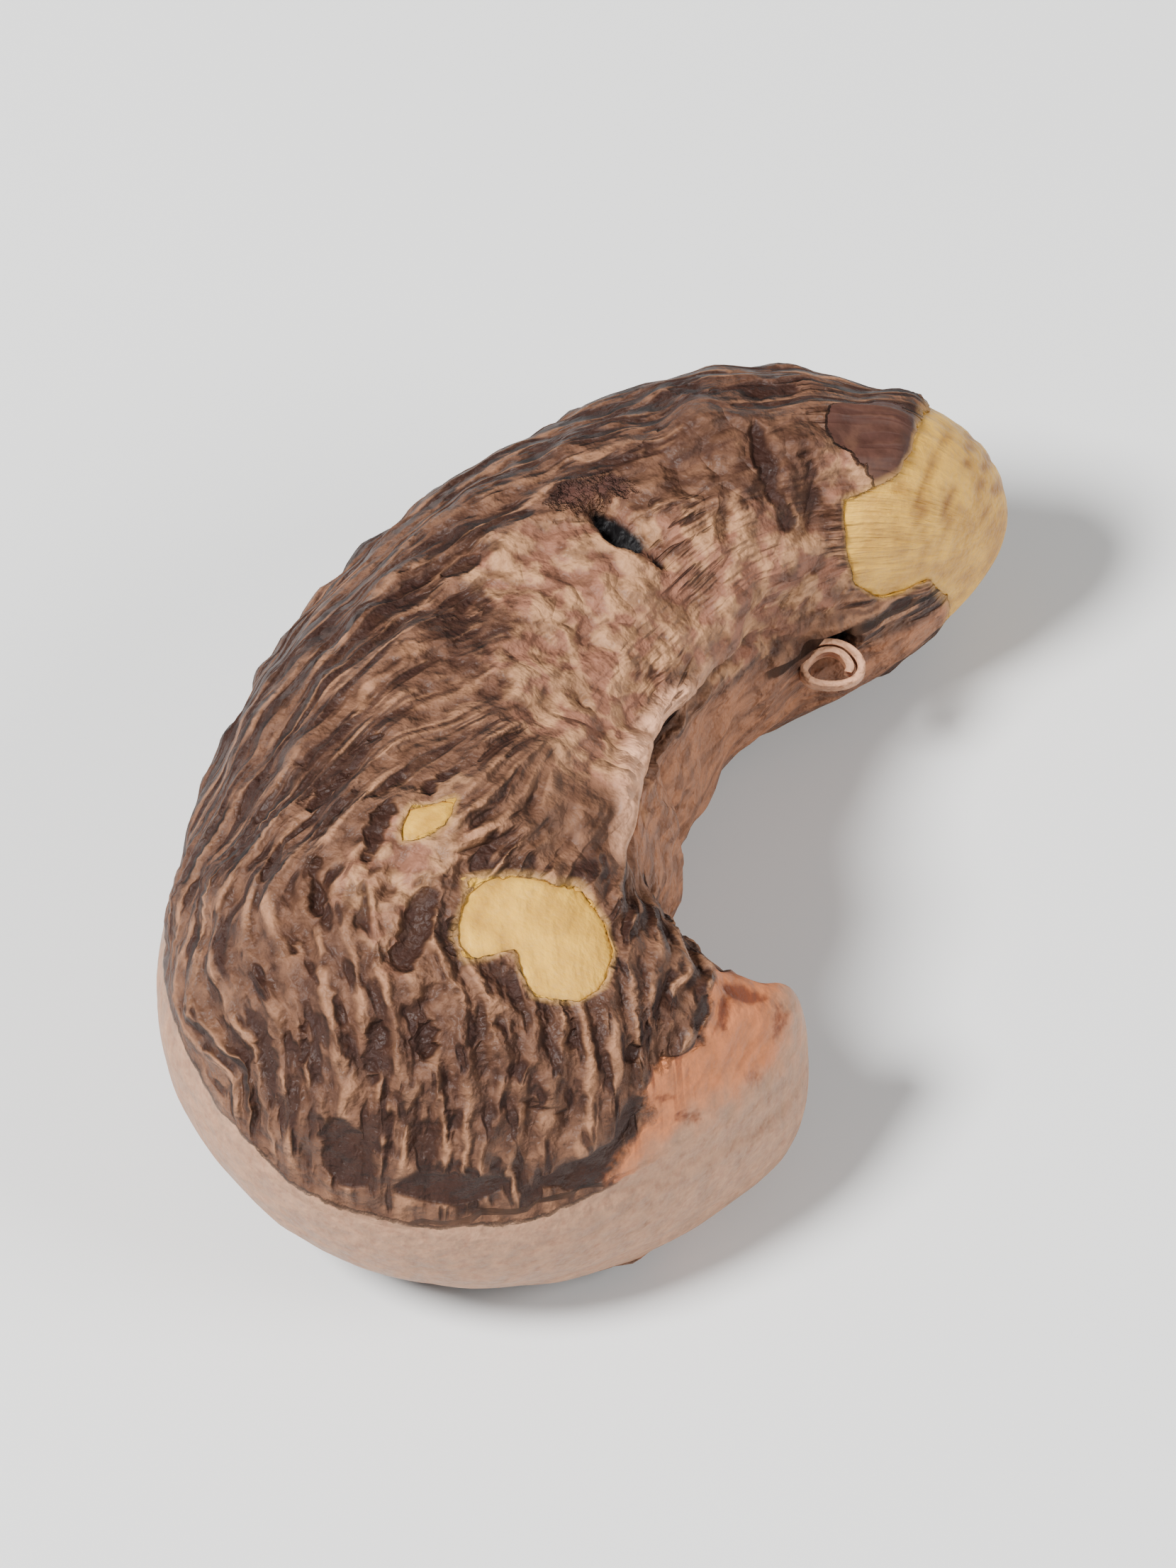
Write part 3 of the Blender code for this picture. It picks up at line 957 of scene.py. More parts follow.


# Marks on the skin by kind, each round a line of angles and sides: the pale middle of the face,
# the ground between fine blotches, the scorched places, the dark blotches, the places with soft
# lumps, the calm pale ground by the crease, the rusty streaks of the hook, the plum-brown flake by
# the tip and a plum-brown painted shade above the pit, and the pits with the hollow under the curl,
# each sunk and painted black as shade.
MARKS = {
    "cream": MarkSet(
        (
            Mark(((170, 90), (162, 106), (152, 124)), 2.3, 1.5),
            Mark(((152, 124), (136, 146), (124, 156)), 1.5, 0.9, 0.95),
            Mark(((172, 116), (192, 122), (210, 130)), 2.3, 1.2, 0.9),
            Mark(((228, 96), (236, 92), (243, 84)), 0.8, 0.4, 0.9),
            Mark(((238, 76), (246, 72), (255, 70)), 0.55, 0.4, 0.6),
            Mark(((134, 118), (124, 138), (112, 156)), 1.7, 0.9, 0.85),
            Mark(((113, 100), (113, 112)), 0.9, 0.5, 0.7),
        ),
        wander=1.0,
    ),
    "blotchy": MarkSet(
        (
            Mark(((182, 78), (164, 68), (148, 60), (130, 50)), 2.2, 1.0),
            Mark(((134, 92), (124, 110), (116, 130)), 2.6, 1.2),
        ),
        wander=1.0,
    ),
    "sooty": MarkSet(
        (
            Mark(((247, 126), (262, 130), (276, 124), (284, 118)), 1.0, 0.7, 0.5),
            Mark(((106, 62), (119, 70), (133, 60), (146, 50)), 0.7, 0.5, 0.6),
            Mark(((261, 76), (268, 66), (274, 52)), 1.6, 1.0, 0.25),
        ),
        wander=0.8,
    ),
    "marked": MarkSet(
        (
            Mark(((257.5, 28), (259.7, 17)), 0.74, 0.2),
            Mark(((263.5, 17.5), (270.5, 18.5)), 0.58, 0.25),
            Mark(((276, 18.5), (279.5, 19.5), (282, 25)), 0.55, 0.25),
            Mark(((290.4, 92), (290.8, 70)), 0.20, 0.12),
            Mark(((247.2, 86), (249.6, 80), (252, 73)), 0.46, 0.2),
            Mark(((254.9, 57), (257.8, 45)), 0.3, 0.18), Mark(((249.1, 46), (251.1, 39)), 0.2, 0.12),
            Mark(((258.8, 63), (260.7, 56)), 0.2, 0.12), Mark(((240.5, 64), (235, 68)), 0.24, 0.14),
            Mark(((229.9, 58), (232.8, 57)), 0.28, 0.14),
            Mark(((255.9, 53), (257.8, 43)), 0.26, 0.16, 0.75),
            Mark(((245.3, 38), (252, 24)), 0.34, 0.2, 0.7),
            Mark(((235.6, 60), (242.4, 55)), 0.22, 0.14, 0.75),
            Mark(((265, 62), (266.5, 54)), 0.3, 0.25, 0.7),
            Mark(((230.8, 85), (237.6, 79)), 0.24, 0.14), Mark(((223.1, 98), (228.9, 91)), 0.16, 0.1),
            Mark(((249.1, 89), (254.9, 82)), 0.14, 0.1), Mark(((221.2, 75), (226, 65)), 0.18, 0.12),
            Mark(((217.4, 64), (216.4, 51)), 0.3, 0.2, 0.7),
            Mark(((214.5, 84), (218.3, 71)), 0.18, 0.12),
            Mark(((272.2, 77), (274.2, 67)), 0.16, 0.12, 0.8),
            Mark(((272.5, 46), (276.5, 42)), 0.26, 0.2, 0.8),
            Mark(((281.9, 32), (283.5, 45)), 0.24, 0.14, 0.8),
            Mark(((280.9, 63), (281.5, 66)), 0.22, 0.12),
            Mark(((242.4, 94), (244.3, 106)), 0.13, 0.1, 0.6),
            Mark(((125.8, 86), (123.8, 104), (120.5, 122)), 0.36, 0.22, 0.9),
            Mark(((118.5, 99), (115.8, 126)), 0.27, 0.22, 0.7),
            Mark(((133, 90), (131.5, 104), (133, 116)), 0.24, 0.2, 0.6),
            Mark(((134.5, 54), (132.5, 62)), 0.34, 0.16), Mark(((129, 62), (121, 66)), 0.30, 0.18, 0.8),
            Mark(((177.5, 74), (175.5, 78)), 0.36, 0.2),
        ),
        warp=0.8,
    ),
    "lumpy": MarkSet(
        (
            Mark(((138, 84), (128, 96), (119, 108), (116, 130)), 2.3, 1.0),
            Mark(((126, 128), (128, 146)), 1.6, 0.9, 0.8),
        ),
        wander=1.0,
    ),
    "calm": MarkSet(
        (
            Mark(((204, 122), (222, 134), (238, 136), (246, 122)), 1.9, 1.1),
            Mark(((190, 112), (204, 122)), 1.6, 1.0, 0.7),
        ),
        wander=1.0,
    ),
    "rusty": MarkSet(
        (
            Mark(((293, 106), (296.5, 104), (303, 100)), 0.24, 0.2, 0.75),
            Mark(((294, 96), (294.8, 82), (296.3, 68)), 0.17, 0.16, 0.8),
            Mark(((306, 92), (308, 74), (307, 60)), 0.26, 0.25, 0.55),
            Mark(((288.5, 33), (291.5, 28)), 0.22, 0.16, 0.6),
            Mark(((300, 40), (303, 32)), 0.3, 0.3, 0.4), Mark(((285, 45), (288, 40)), 0.16, 0.14, 0.6),
        ),
        warp=0.6,
    ),
    "plum": MarkSet(
        (
            Mark(((114.5, 88), (107, 90), (106.8, 104)), 1.05, 0.2),
            # Painted shade: a plum-brown patch on the flap above the pit.
            Mark(((158, 81), (151, 85), (145, 91)), 0.6, 0.5, 0.62),
        ),
        warp=1.0,
    ),
    # Painted shade: these pits, and the hollow under the curl, are painted black.
    "pit": MarkSet(
        (
            Mark(((152.6, 90), (151.2, 95), (149.4, 101)), 0.38, 0.30),
            Mark(((149.4, 101), (145.2, 112)), 0.22, 0.30, 0.62),
            Mark(((112.6, 186), (110.8, 185)), 0.75, 0.2),
            Mark(((192, 118), (195, 121)), 0.14, 0.12, 0.5),
        ),
        warp=0.5,
    ),
}


@dataclass(frozen=True)
class SmoothSkin:
    """The smooth pale strip along the back and the smooth pink hook.

    Attributes:
        top: Angles, and the side of the strip's upper edge at each.
        low: Angles, and the side of its lower edge at each.
        hook_edge: Sides, and the angle at which the hook begins at each.
        steps: Millimetres in a degree of side at the strip, and in one of angle at the hook.
        wavers: How much of the warp the strip's and the hook's edge take.
        strip_start: Angles between which the strip comes up, and by how much.
        merge: Angles and sides between which its upper part merges with the hook.
        pale_sides: Degrees past its upper edge between which the hook's colour fades in.
        pale_angles: Angles between which the hook grows pale towards its end.
    """

    top: Curve = ((150, 200, 232, 246, 255, 276, 283, 296, 306, 317), (1, 3, 9, 8, 5, 6, 13, 20, 24, 30))
    low: Curve = ((150, 200, 240, 256, 276, 296, 317), (-18, -24, -34, -46, -48, -52, -56))
    hook_edge: Curve = (
        (0, 19, 33, 49, 60, 65, 92, 122, 150, 180, 220, 270, 333, 360),
        (280, 281.9, 284.7, 284.2, 285.7, 291.4, 290.5, 289.0, 291, 297, 294, 287, 281, 280),
    )
    steps: Place = (0.11, 0.12)
    wavers: Place = (0.45, 0.4)
    strip_start: tuple[float, float, float] = (176.0, 216.0, 1.2)
    merge: tuple[Place, Place] = ((280.0, 292.0), (0.0, 12.0))
    pale_sides: Place = (0.0, 30.0)
    pale_angles: Place = (301.0, 314.0)

    def zones(self, net: Net, warp: Array) -> dict[str, Array]:
        """Distances into the strip and the hook, and how pale and how smooth each place is.

        Args:
            net: The places.
            warp: How the edges wander.

        Returns:
            Numbers for each place, by the name of the zone.
        """
        back = to_side(net.turn, 0.0)
        top, low = (np.interp(net.angles, *edge) for edge in (self.top, self.low))
        strip = np.minimum(top - back, back - low) * self.steps[0] + self.wavers[0] * warp
        strip = strip * (1 - 0.75 * ease(*self.merge[0], net.angles) * ease(*self.merge[1], back))
        first, last, depth = self.strip_start
        strip = strip + depth * (ease(first, last, net.angles) - 1)
        hook = net.angles - np.interp(net.turn, *self.hook_edge)
        hook = hook * self.steps[1] + self.wavers[1] * warp
        pale = np.maximum(1 - ease(*self.pale_sides, back - top), ease(*self.pale_angles, net.angles))
        smooth = np.maximum(ease(-0.12, 0.12, strip), ease(-0.2, 0.3, hook))
        pale = pale * ease(-0.1, 0.8, hook)
        by_strip = ease(-1.1, -0.1, strip)
        return {"strip": strip, "hook": hook, "pale": pale, "smooth": smooth, "by_strip": by_strip}


@dataclass(frozen=True)
class BaySkin:
    """The skin by the bay: its even wall, the crease's pale ridge, lightened as a painted highlight, and the
    crevice beside that, sunk and darkened as painted shade.

    Attributes:
        wall_from: Degrees past the crease between which the wall begins.
        wall_to: Sides between which it ends underneath.
        wall_end: Angles between which it ends by the hook.
        crevice: Angles, and how many degrees past the crease the crevice lies at each.
        crevice_width: Degrees off its middle between which it fades.
        crevice_breaks: How its depth varies.
        ridge: Angles, and how many degrees past the crease the ridge lies at each.
        ridge_width: Degrees off its top between which it fades.
        ridge_from: Angles between which it comes up.
        ridge_breaks: How its height varies.
        stray: Degrees by which both stray.
    """

    wall_from: Place = (4.0, 10.0)
    wall_to: Place = (212.0, 240.0)
    wall_end: Place = (238.0, 262.0)
    crevice: Curve = ((157, 168, 179, 196, 224, 235), (-3, 0, 2.4, 4, 5.5, 9))
    crevice_width: Place = (0.4, 3.4)
    crevice_breaks: Rough = Rough(1.2, 1.3, 57, 2)
    ridge: Curve = ((176, 211, 233, 244), (-6, -3.7, -0.5, 1))
    ridge_width: Place = (1.8, 6.0)
    ridge_from: Place = (130.0, 165.0)
    ridge_breaks: Rough = Rough(1.2, 1.5, 53)
    stray: Rough = Rough(2.4, 1.5, 23)

    def zones(self, net: Net) -> dict[str, Array]:
        """How much each place belongs to the wall, the crevice and the ridge.

        Args:
            net: The places.

        Returns:
            Numbers from 0 to 1, by the name of the zone.
        """
        past = net.turn - RELIEF.crease_side(net.angles)
        wall = ease(*self.wall_from, past) * (1 - ease(*self.wall_to, net.turn))
        wall = wall * (1 - ease(*self.wall_end, net.angles))
        off = past - self.stray.at(net.plain)
        along = RELIEF.crease_share(net.angles)
        crevice = 1 - ease(*self.crevice_width, np.abs(off - np.interp(net.angles, *self.crevice)))
        crevice = crevice * along * np.clip(0.75 + self.crevice_breaks.at(net.plain), 0.25, 1.0)
        ridge = 1 - ease(*self.ridge_width, np.abs(off - np.interp(net.angles, *self.ridge)))
        ridge = ridge * along * ease(*self.ridge_from, net.angles)
        ridge = ridge * np.clip(0.9 + self.ridge_breaks.at(net.plain), 0.45, 1.0)
        return {"wall": wall, "crevice": crevice, "ridge": ridge}


def weigh(start: float, weights: Weights, zones: dict[str, Array]) -> Array:
    """A start plus each named zone times its weight."""
    return start + sum(weight * zones[name] for name, weight in weights)


def spare(losses: Weights, zones: dict[str, Array]) -> Array:
    """What is left of 1 where each named zone takes its share away: the product of 1 less that."""
    return np.prod([1 - loss * zones[name] for name, loss in losses], axis=0)


@dataclass(frozen=True)
class SkinCover:
    """How the skin's marks, veins and tone vary over it, from the zones that each place is in.

    Attributes:
        wander: How broad zones' edges wander.
        warp: How fine zones' edges do.
        patches: Where the skin is blotched more.
        lobe_from: Angles between which the lobe's short veins begin.
        lobe_waver: Degrees by which that edge wavers.
        tip_angles: Angles between which the finely blotched skin by the tip ends.
        tip_sides: Sides between which it begins.
        shade: The flank's middle and width in degrees from the back, where shade is painted: the skin
            darker, with fewer light veins and more dark marks.
        light_patches: Where the veins are lighter.
        dark_share: Weights of the zones in the share of dark blotches.
        light_losses: How much of the veins' lightness each zone takes away.
        tone: Weights of the zones in the ground's tone.
        ridgy_losses: How much of the veins' relief and of the blotches each zone takes away.
        kept: The zones that the finish reads.
    """

    wander: Rough = Rough(1.1, 1.6, 3)
    warp: Rough = Rough(0.5, 0.7, 8)
    patches: Rough = Rough(1.0, 2.4, 19)
    lobe_from: Place = (214.0, 236.0)
    lobe_waver: Rough = Rough(8.0, 3.0, 14)
    tip_angles: Place = (118.0, 138.0)
    tip_sides: Place = (20.0, 60.0)
    shade: Place = (35.0, 48.0)
    light_patches: Rough = Rough(1.3, 1.1, 37)
    dark_share: Weights = (
        ("lobe", 0.06), ("patchy", 0.6), ("sooty", 0.4), ("cream", -0.35), ("near_tip", -0.1),
        ("flank_shade", 0.2), ("lumpy", -0.25), ("by_strip", -0.5), ("blotched", 0.22),
    )
    light_losses: Weights = (
        ("sooty", 0.5), ("wall", 0.8), ("by_strip", 0.7), ("flank_shade", 0.6), ("near_tip", 0.25), ("lumpy", 0.8),
    )
    tone: Weights = (
        ("patchy", 0.9), ("calm", 0.4), ("flank_shade", -0.8), ("lobe", -0.1), ("dull", -0.35), ("near_tip", -0.2),
    )
    ridgy_losses: Weights = (
        ("wall", 1.0), ("lumpy", 0.85), ("smooth", 1.0), ("marked", 1.0), ("by_strip", 0.85),
    )
    kept: tuple[str, ...] = (
        "dark", "share", "light", "pale", "short", "cream", "sooty", "plum", "strip", "hook", "wall", "pit",
        "deep", "ridge", "lumpy", "ridgy", "gold_shade", "rusty", "tone", "torn", "column",
    )

    def zones(self, net: Net) -> dict[str, Array]:
        """Shares and distances that say which relief and finish each place has.

        Args:
            net: The places.

        Returns:
            Numbers for each place, by the name of the zone.
        """
        wander, warp = self.wander.at(net.plain), self.warp.at(net.plain)
        z = {name: marks.share(net, wander, warp) for name, marks in MARKS.items()}
        z |= SmoothSkin().zones(net, warp) | BaySkin().zones(net)
        back = to_side(net.turn, 0.0)
        z["patchy"] = self.patches.at(net.plain)
        z["lobe"] = ease(*self.lobe_from, net.angles + self.lobe_waver.at(net.plain))
        z["near_tip"] = (1 - ease(*self.tip_angles, net.angles)) * ease(*self.tip_sides, net.turn)
        # Painted shade along the upper flank, weaker on the lobe and none by the tip.
        z["flank_shade"] = bump(back, *self.shade) * (1 - 0.6 * z["lobe"]) * (1 - z["near_tip"])
        z["lumpy"] = np.max([z["lumpy"], z["calm"], z["cream"]], axis=0)
        z["blotched"] = z["blotchy"] * (1 - z["lumpy"])
        z["dull"] = z["blotchy"] * (1 - z["cream"])
        z["short"] = np.maximum(z["lobe"], z["blotchy"])
        z["share"] = weigh(0.32, self.dark_share, z) * (1 - z["smooth"]) * (1 - z["wall"]) - 0.7 * z["wall"]
        light = np.clip(0.8 + self.light_patches.at(net.plain) + 0.7 * z["patchy"], 0.0, 1.0)
        z["light"] = light * spare(self.light_losses, z)
        z["tone"] = np.clip(weigh(0.55, self.tone, z), 0.0, 1.0)
        z["ridgy"] = spare(self.ridgy_losses, z) * (0.65 + 0.35 * z["lobe"])
        z["dark"] = z["marked"] * (1 - z["smooth"])
        # Where the skin is sunk and painted with shade: the pits in full, the crevice at 0.6.
        z["deep"] = np.maximum(z["pit"], 0.6 * z["crevice"])
        z["rusty"] = z["rusty"] * ease(-0.05, 0.1, z["hook"])
        z |= {"gold_shade": TIP.gold(net), "torn": bare_distance(net), "column": net.column}
        return z


@dataclass(frozen=True)
class Skin:
    """The papery skin: a thin shell with torn edges round the bare patches.

    Attributes:
        plan: Its grid.
        thickness: Its thickness away from the torn edges.
        torn_thickness: Its thickness at them.
        thin_reach: How far from a torn edge it is thin.
        kernel_depth: How deep the kernel lies at the torn edges.
        wrinkles: Wrinkles along the grain.
        dents: Broader dents.
        lumps: Soft lumps, where it is lumpy.
        vein_rise: Height of a vein on the limb, and how much more it has on the lobe.
        rises: How high a zone stands.
        off_floor: How much of the relief the floor takes away, and the degrees round it.
        film: Distances from a torn edge between which the skin leaves the kernel.
    """

    plan: RingPlan = RingPlan(26, 200, 14, 184)
    thickness: float = 0.12
    torn_thickness: float = 0.05
    thin_reach: float = 0.4
    kernel_depth: float = 0.15
    cover: SkinCover = field(default_factory=SkinCover)
    wrinkles: Rough = Rough(0.20, (0.9, 0.9, 1.9), 41, 3)
    dents: Rough = Rough(0.36, 1.3, 43, 2)
    lumps: Rough = Rough(0.5, 1.5, 47, 2)
    vein_rise: Place = (0.03, 0.06)
    rises: Weights = (
        ("dark", -0.12), ("deep", -0.6), ("pit", -0.25), ("plum", 0.05), ("pale", 0.10), ("rusty", -0.10),
        ("ridge", 0.28),
    )
    off_floor: Place = (0.95, 20.0)
    film: Place = (-0.05, 0.25)

    def kept_quads(self, distance: Array) -> Array:
        """Which quads stay: those whose middle is not bare, with no two touching at a corner.

        Args:
            distance: Distance from the torn edges at every grid point.

        Returns:
            True or false for each quad.
        """
        beyond = np.roll(distance, -1, axis=1)
        kept = (distance[:-1] + distance[1:] + beyond[:-1] + beyond[1:]) / 4 > -FILM
        for _ in range(6):
            up, left = kept[:-1], np.roll(kept[:-1], 1, axis=1)
            down, down_left = kept[1:], np.roll(kept[1:], 1, axis=1)
            crossed = (up & down_left & ~left & ~down) | (left & down & ~up & ~down_left)
            if not crossed.any():
                break
            kept[:-1] &= ~(crossed & up)
            kept[:-1] &= ~np.roll(crossed & left, -1, axis=1)
        return kept

    def snap(self, net: Net, torn: Array) -> Net:
        """Slides the torn edge's points onto the edge, down the slope of the distance.

        Args:
            net: The grid's places.
            torn: True where a place lies on the edge of what is kept.

        Returns:
            The net with those places moved.
        """
        def read(rings: Array, sides: Array) -> Array:
            """The distance at some places."""
            return bare_distance(Net(self.plan, rings, sides))

        ring, side = net.ring.copy(), net.side.copy()
        degree = 360.0 / self.plan.sides
        start_ring, start_side = ring[torn], side[torn]
        here_ring, here_side = start_ring, start_side
        for _ in range(3):
            value = read(here_ring, here_side)
            by_ring = read(here_ring + 0.5, here_side) - read(here_ring - 0.5, here_side)
            by_side = read(here_ring, here_side + degree / 2) - read(here_ring, here_side - degree / 2)
            slope = np.maximum(by_ring**2 + by_side**2, 1e-4)
            here_ring = here_ring - np.clip(value * by_ring / slope, -0.6, 0.6)
            here_side = here_side - degree * np.clip(value * by_side / slope, -0.6, 0.6)
        ring[torn] = start_ring + np.clip(here_ring - start_ring, -0.8, 0.8)
        side[torn] = start_side + degree * np.clip((here_side - start_side) / degree, -0.8, 0.8)
        return Net(self.plan, ring, side)

    def height(self, net: Net, zones: dict[str, Array]) -> Array:
        """Relief over the plain surface: the solids' own, and marks, wrinkles and pits on it.

        Args:
            net: The places.
            zones: Their zones.

        Returns:
            Heights in millimetres.
        """
        veins = self.vein_rise[0] + self.vein_rise[1] * ease(*GRAIN.lobe_from, net.angles)
        veins = veins * np.cos(2 * np.pi * net.column) * (0.3 + 0.7 * zones["light"])
        wrinkles = (1 - 0.8 * zones["lumpy"]) * self.wrinkles.at(net.grain) + self.dents.at(net.plain)
        wrinkles = wrinkles + veins * (1 - 0.8 * zones["by_strip"]) * zones["ridgy"]
        wrinkles = wrinkles + zones["lumpy"] * self.lumps.at(net.plain)
        rise = RELIEF.broad(net.angles, net.turn) + RELIEF.fine(net.angles, net.turn)
        rise = rise + wrinkles * (1 - 0.85 * zones["smooth"]) + weigh(0.0, self.rises, zones)
        rise = rise * net.opening**2 * RELIEF.off_rest(net.turn, *self.off_floor)
        on_kernel = TIP.rise(net, self.kernel_depth) + 0.04
        return rise + (1 - ease(*self.film, zones["torn"])) * (on_kernel - rise)

    def build(self, material: bpy.types.Material) -> bpy.types.Object:
        """Builds the shell: outer and inner face, joined along every torn edge.

        Args:
            material: Its finish.

        Returns:
            The dressed skin.
        """
        net = Net.whole(self.plan)
        kept = self.kept_quads(bare_distance(net))
        rings, sides = net.ring.shape
        count, last = rings * sides, (rings - 1) * sides
        quads = grid_quads(rings, sides)
        used, dropped = np.zeros(count, bool), np.zeros(count, bool)
        used[quads[kept]] = True
        dropped[quads[~kept]] = True
        net = self.snap(net, (used & dropped).reshape(rings, sides))
        zones = self.cover.zones(net)

        height = self.height(net, zones)
        thin = np.exp(-np.maximum(zones["torn"], 0.0) / self.thin_reach)
        thickness = self.thickness + (self.torn_thickness - self.thickness) * thin
        outer = net.plain + net.outward * height[..., None]
        inner = net.plain + net.outward * (height - thickness)[..., None]
        outer[..., 2] = np.maximum(outer[..., 2], 0.0)
        inner[..., 2] = np.maximum(inner[..., 2], self.thickness)
        end = LIMB.middle(LIMB.hook_angle)
        way = inner[-1].mean(axis=0) - end
        inner_end = end + way / np.linalg.norm(way) * self.thickness
        points = np.concatenate([outer.reshape(-1, 3), inner.reshape(-1, 3), [end, inner_end]])

        outside = quads[kept]
        faces = np.concatenate([outside, outside[:, ::-1] + count, self.rim(outside, count)])
        end_fan, inner_fan = fan(last, sides, 2 * count), fan(last + count, sides, 2 * count + 1)
        fans = np.concatenate([end_fan[:, ::-1], inner_fan])
        both = {name: zones[name] for name in self.cover.kept} | {"grain": net.grain}
        values = {
            name: np.concatenate([v.reshape(count, -1)] * 2 + [v[-1].reshape(sides, -1).mean(0)[None]] * 2)
            for name, v in both.items()
        }
        values["inside"] = np.repeat([0.0, 1.0, 0.0, 1.0], [count, count, 1, 1])
        used = np.zeros(len(points), bool)
        used[faces] = True
        used[fans] = True
        number = np.cumsum(used) - 1
        values = {name: v[used].squeeze() for name, v in values.items()}
        surface = SurfaceMesh(points[used], number[faces], number[fans], values)
        return surface.join(Curl().surface(tuple(values))).make(Piece.SKIN, material)

    def rim(self, outside: Array, count: int) -> Array:
        """Quads that join the two faces along every edge that only one outer quad has.

        Args:
            outside: The outer face's quads.
            count: How many places the grid has, which parts a point from the one inside it.

        Returns:
            The rim's quads.
        """
        edges = np.concatenate([outside[:, [k, (k + 1) % 4]] for k in range(4)])
        keys = edges.min(axis=1) * count + edges.max(axis=1)
        _, first, uses = np.unique(keys, return_index=True, return_counts=True)
        open_edges = edges[first[uses == 1]]
        open_edges = open_edges[open_edges.min(axis=1) < count - self.plan.sides]
        a, b = open_edges.T
        return np.stack([b, a, a + count, b + count], axis=-1)


@dataclass(frozen=True)
class Kernel:
    """The kernel: a closed smooth form close under the skin, seen where the skin is gone.

    Attributes:
        skin: The skin that covers it, whose marks press into it a little.
        plan: Its grid.
        clearance: How far it stays under the skin's outer face where that covers it.
        covered: Distances from a torn edge between which it draws back to that.
        off_floor: How far it stays off the floor.
        pole: Openings between which the grain's lines come up, away from the poles.
    """

    skin: Skin = field(default_factory=Skin)
    plan: RingPlan = RingPlan(24, 150, 12, 140)
    clearance: float = 0.2
    covered: Place = (0.1, 0.35)
    off_floor: float = 0.2
    pole: Place = (0.3, 0.8)

    def build(self, material: bpy.types.Material) -> bpy.types.Object:
        """Builds it: the plain surface moved in by the depth, with the solids' broad relief.

        Args:
            material: Its finish.

        Returns:
            The dressed kernel.
        """
        net, depth = Net.whole(self.plan), self.skin.kernel_depth
        rise, bare = TIP.rise(net, depth), bare_distance(net)
        ceiling = self.skin.height(net, self.skin.cover.zones(net)) - self.clearance
        for axis in (0, 1):
            beside = np.minimum(np.roll(ceiling, 1, axis), np.roll(ceiling, -1, axis))
            ceiling = np.minimum(ceiling, beside)
        rise = rise - ease(*self.covered, bare) * np.maximum(rise - ceiling, 0.0)
        points = net.plain + net.outward * rise[..., None]
        points[..., 2] = np.maximum(points[..., 2], self.off_floor)

        ends = []
        for angle, way in ((LIMB.tip_angle, 1.0), (LIMB.hook_angle, -1.0)):
            turn = np.radians(angle)
            tangent = np.array([-np.sin(turn), np.cos(turn), 0.0])
            ends.append(LIMB.middle(angle) + tangent * way * depth)
        rings, sides = net.ring.shape
        count, last = rings * sides, (rings - 1) * sides
        fans = np.concatenate([fan(0, sides, count), fan(last, sides, count + 1)[:, ::-1]])
        both = {"torn": bare, "gold_shade": TIP.gold(net), "pole": 1 - ease(*self.pole, net.opening)}
        values = {name: np.concatenate([v.ravel(), v[[0, -1]].mean(axis=1)]) for name, v in both.items()}
        values["grain"] = np.concatenate([net.grain.reshape(-1, 3), net.grain[[0, -1]].mean(axis=1)])
        points = np.concatenate([points.reshape(-1, 3), ends])
        quads = grid_quads(rings, sides).reshape(-1, 4)
        return SurfaceMesh(points, quads, fans, values).make(Piece.KERNEL, material)


Term = "float | Signal"


class Signal:
    """A number, colour or vector that a node puts out. A sum with it adds the nodes for it."""

    def __init__(self, w: "Wiring", socket: bpy.types.NodeSocket) -> None:
        """Keeps the socket, and the wiring of its tree."""
        self.w, self.socket = w, socket

    def __add__(self, other: Term) -> "Signal":
        """Both added."""
        return self.w.math("ADD", self, other)

    def __sub__(self, other: Term) -> "Signal":
        """The other taken away."""
        return self.w.math("SUBTRACT", self, other)

    def __rsub__(self, other: float) -> "Signal":
        """This taken away from a number."""
        return self.w.math("SUBTRACT", other, self)

    def __mul__(self, other: Term) -> "Signal":
        """Both multiplied."""
        return self.w.math("MULTIPLY", self, other)

    def __truediv__(self, other: Term) -> "Signal":
        """Divided by the other."""
        return self.w.math("DIVIDE", self, other)

    def __rtruediv__(self, other: float) -> "Signal":
        """A number divided by this."""
        return self.w.math("DIVIDE", other, self)

    def most(self, other: Term) -> "Signal":
        """The larger of both."""
        return self.w.math("MAXIMUM", self, other)

    def within(self) -> "Signal":
        """The last sum, kept from 0 to 1."""
        self.socket.node.use_clamp = True
        return self

    def rise(self, low: float, high: float, to: Place = (0.0, 1.0)) -> "Signal":
        """Rises smoothly from the first of two values to the second between low and high."""
        inputs = {"Value": self, "From Min": low, "From Max": high, "To Min": to[0], "To Max": to[1]}
        return self.w.add("MapRange", inputs, interpolation_type="SMOOTHSTEP")


Signals = dict[str, Signal]


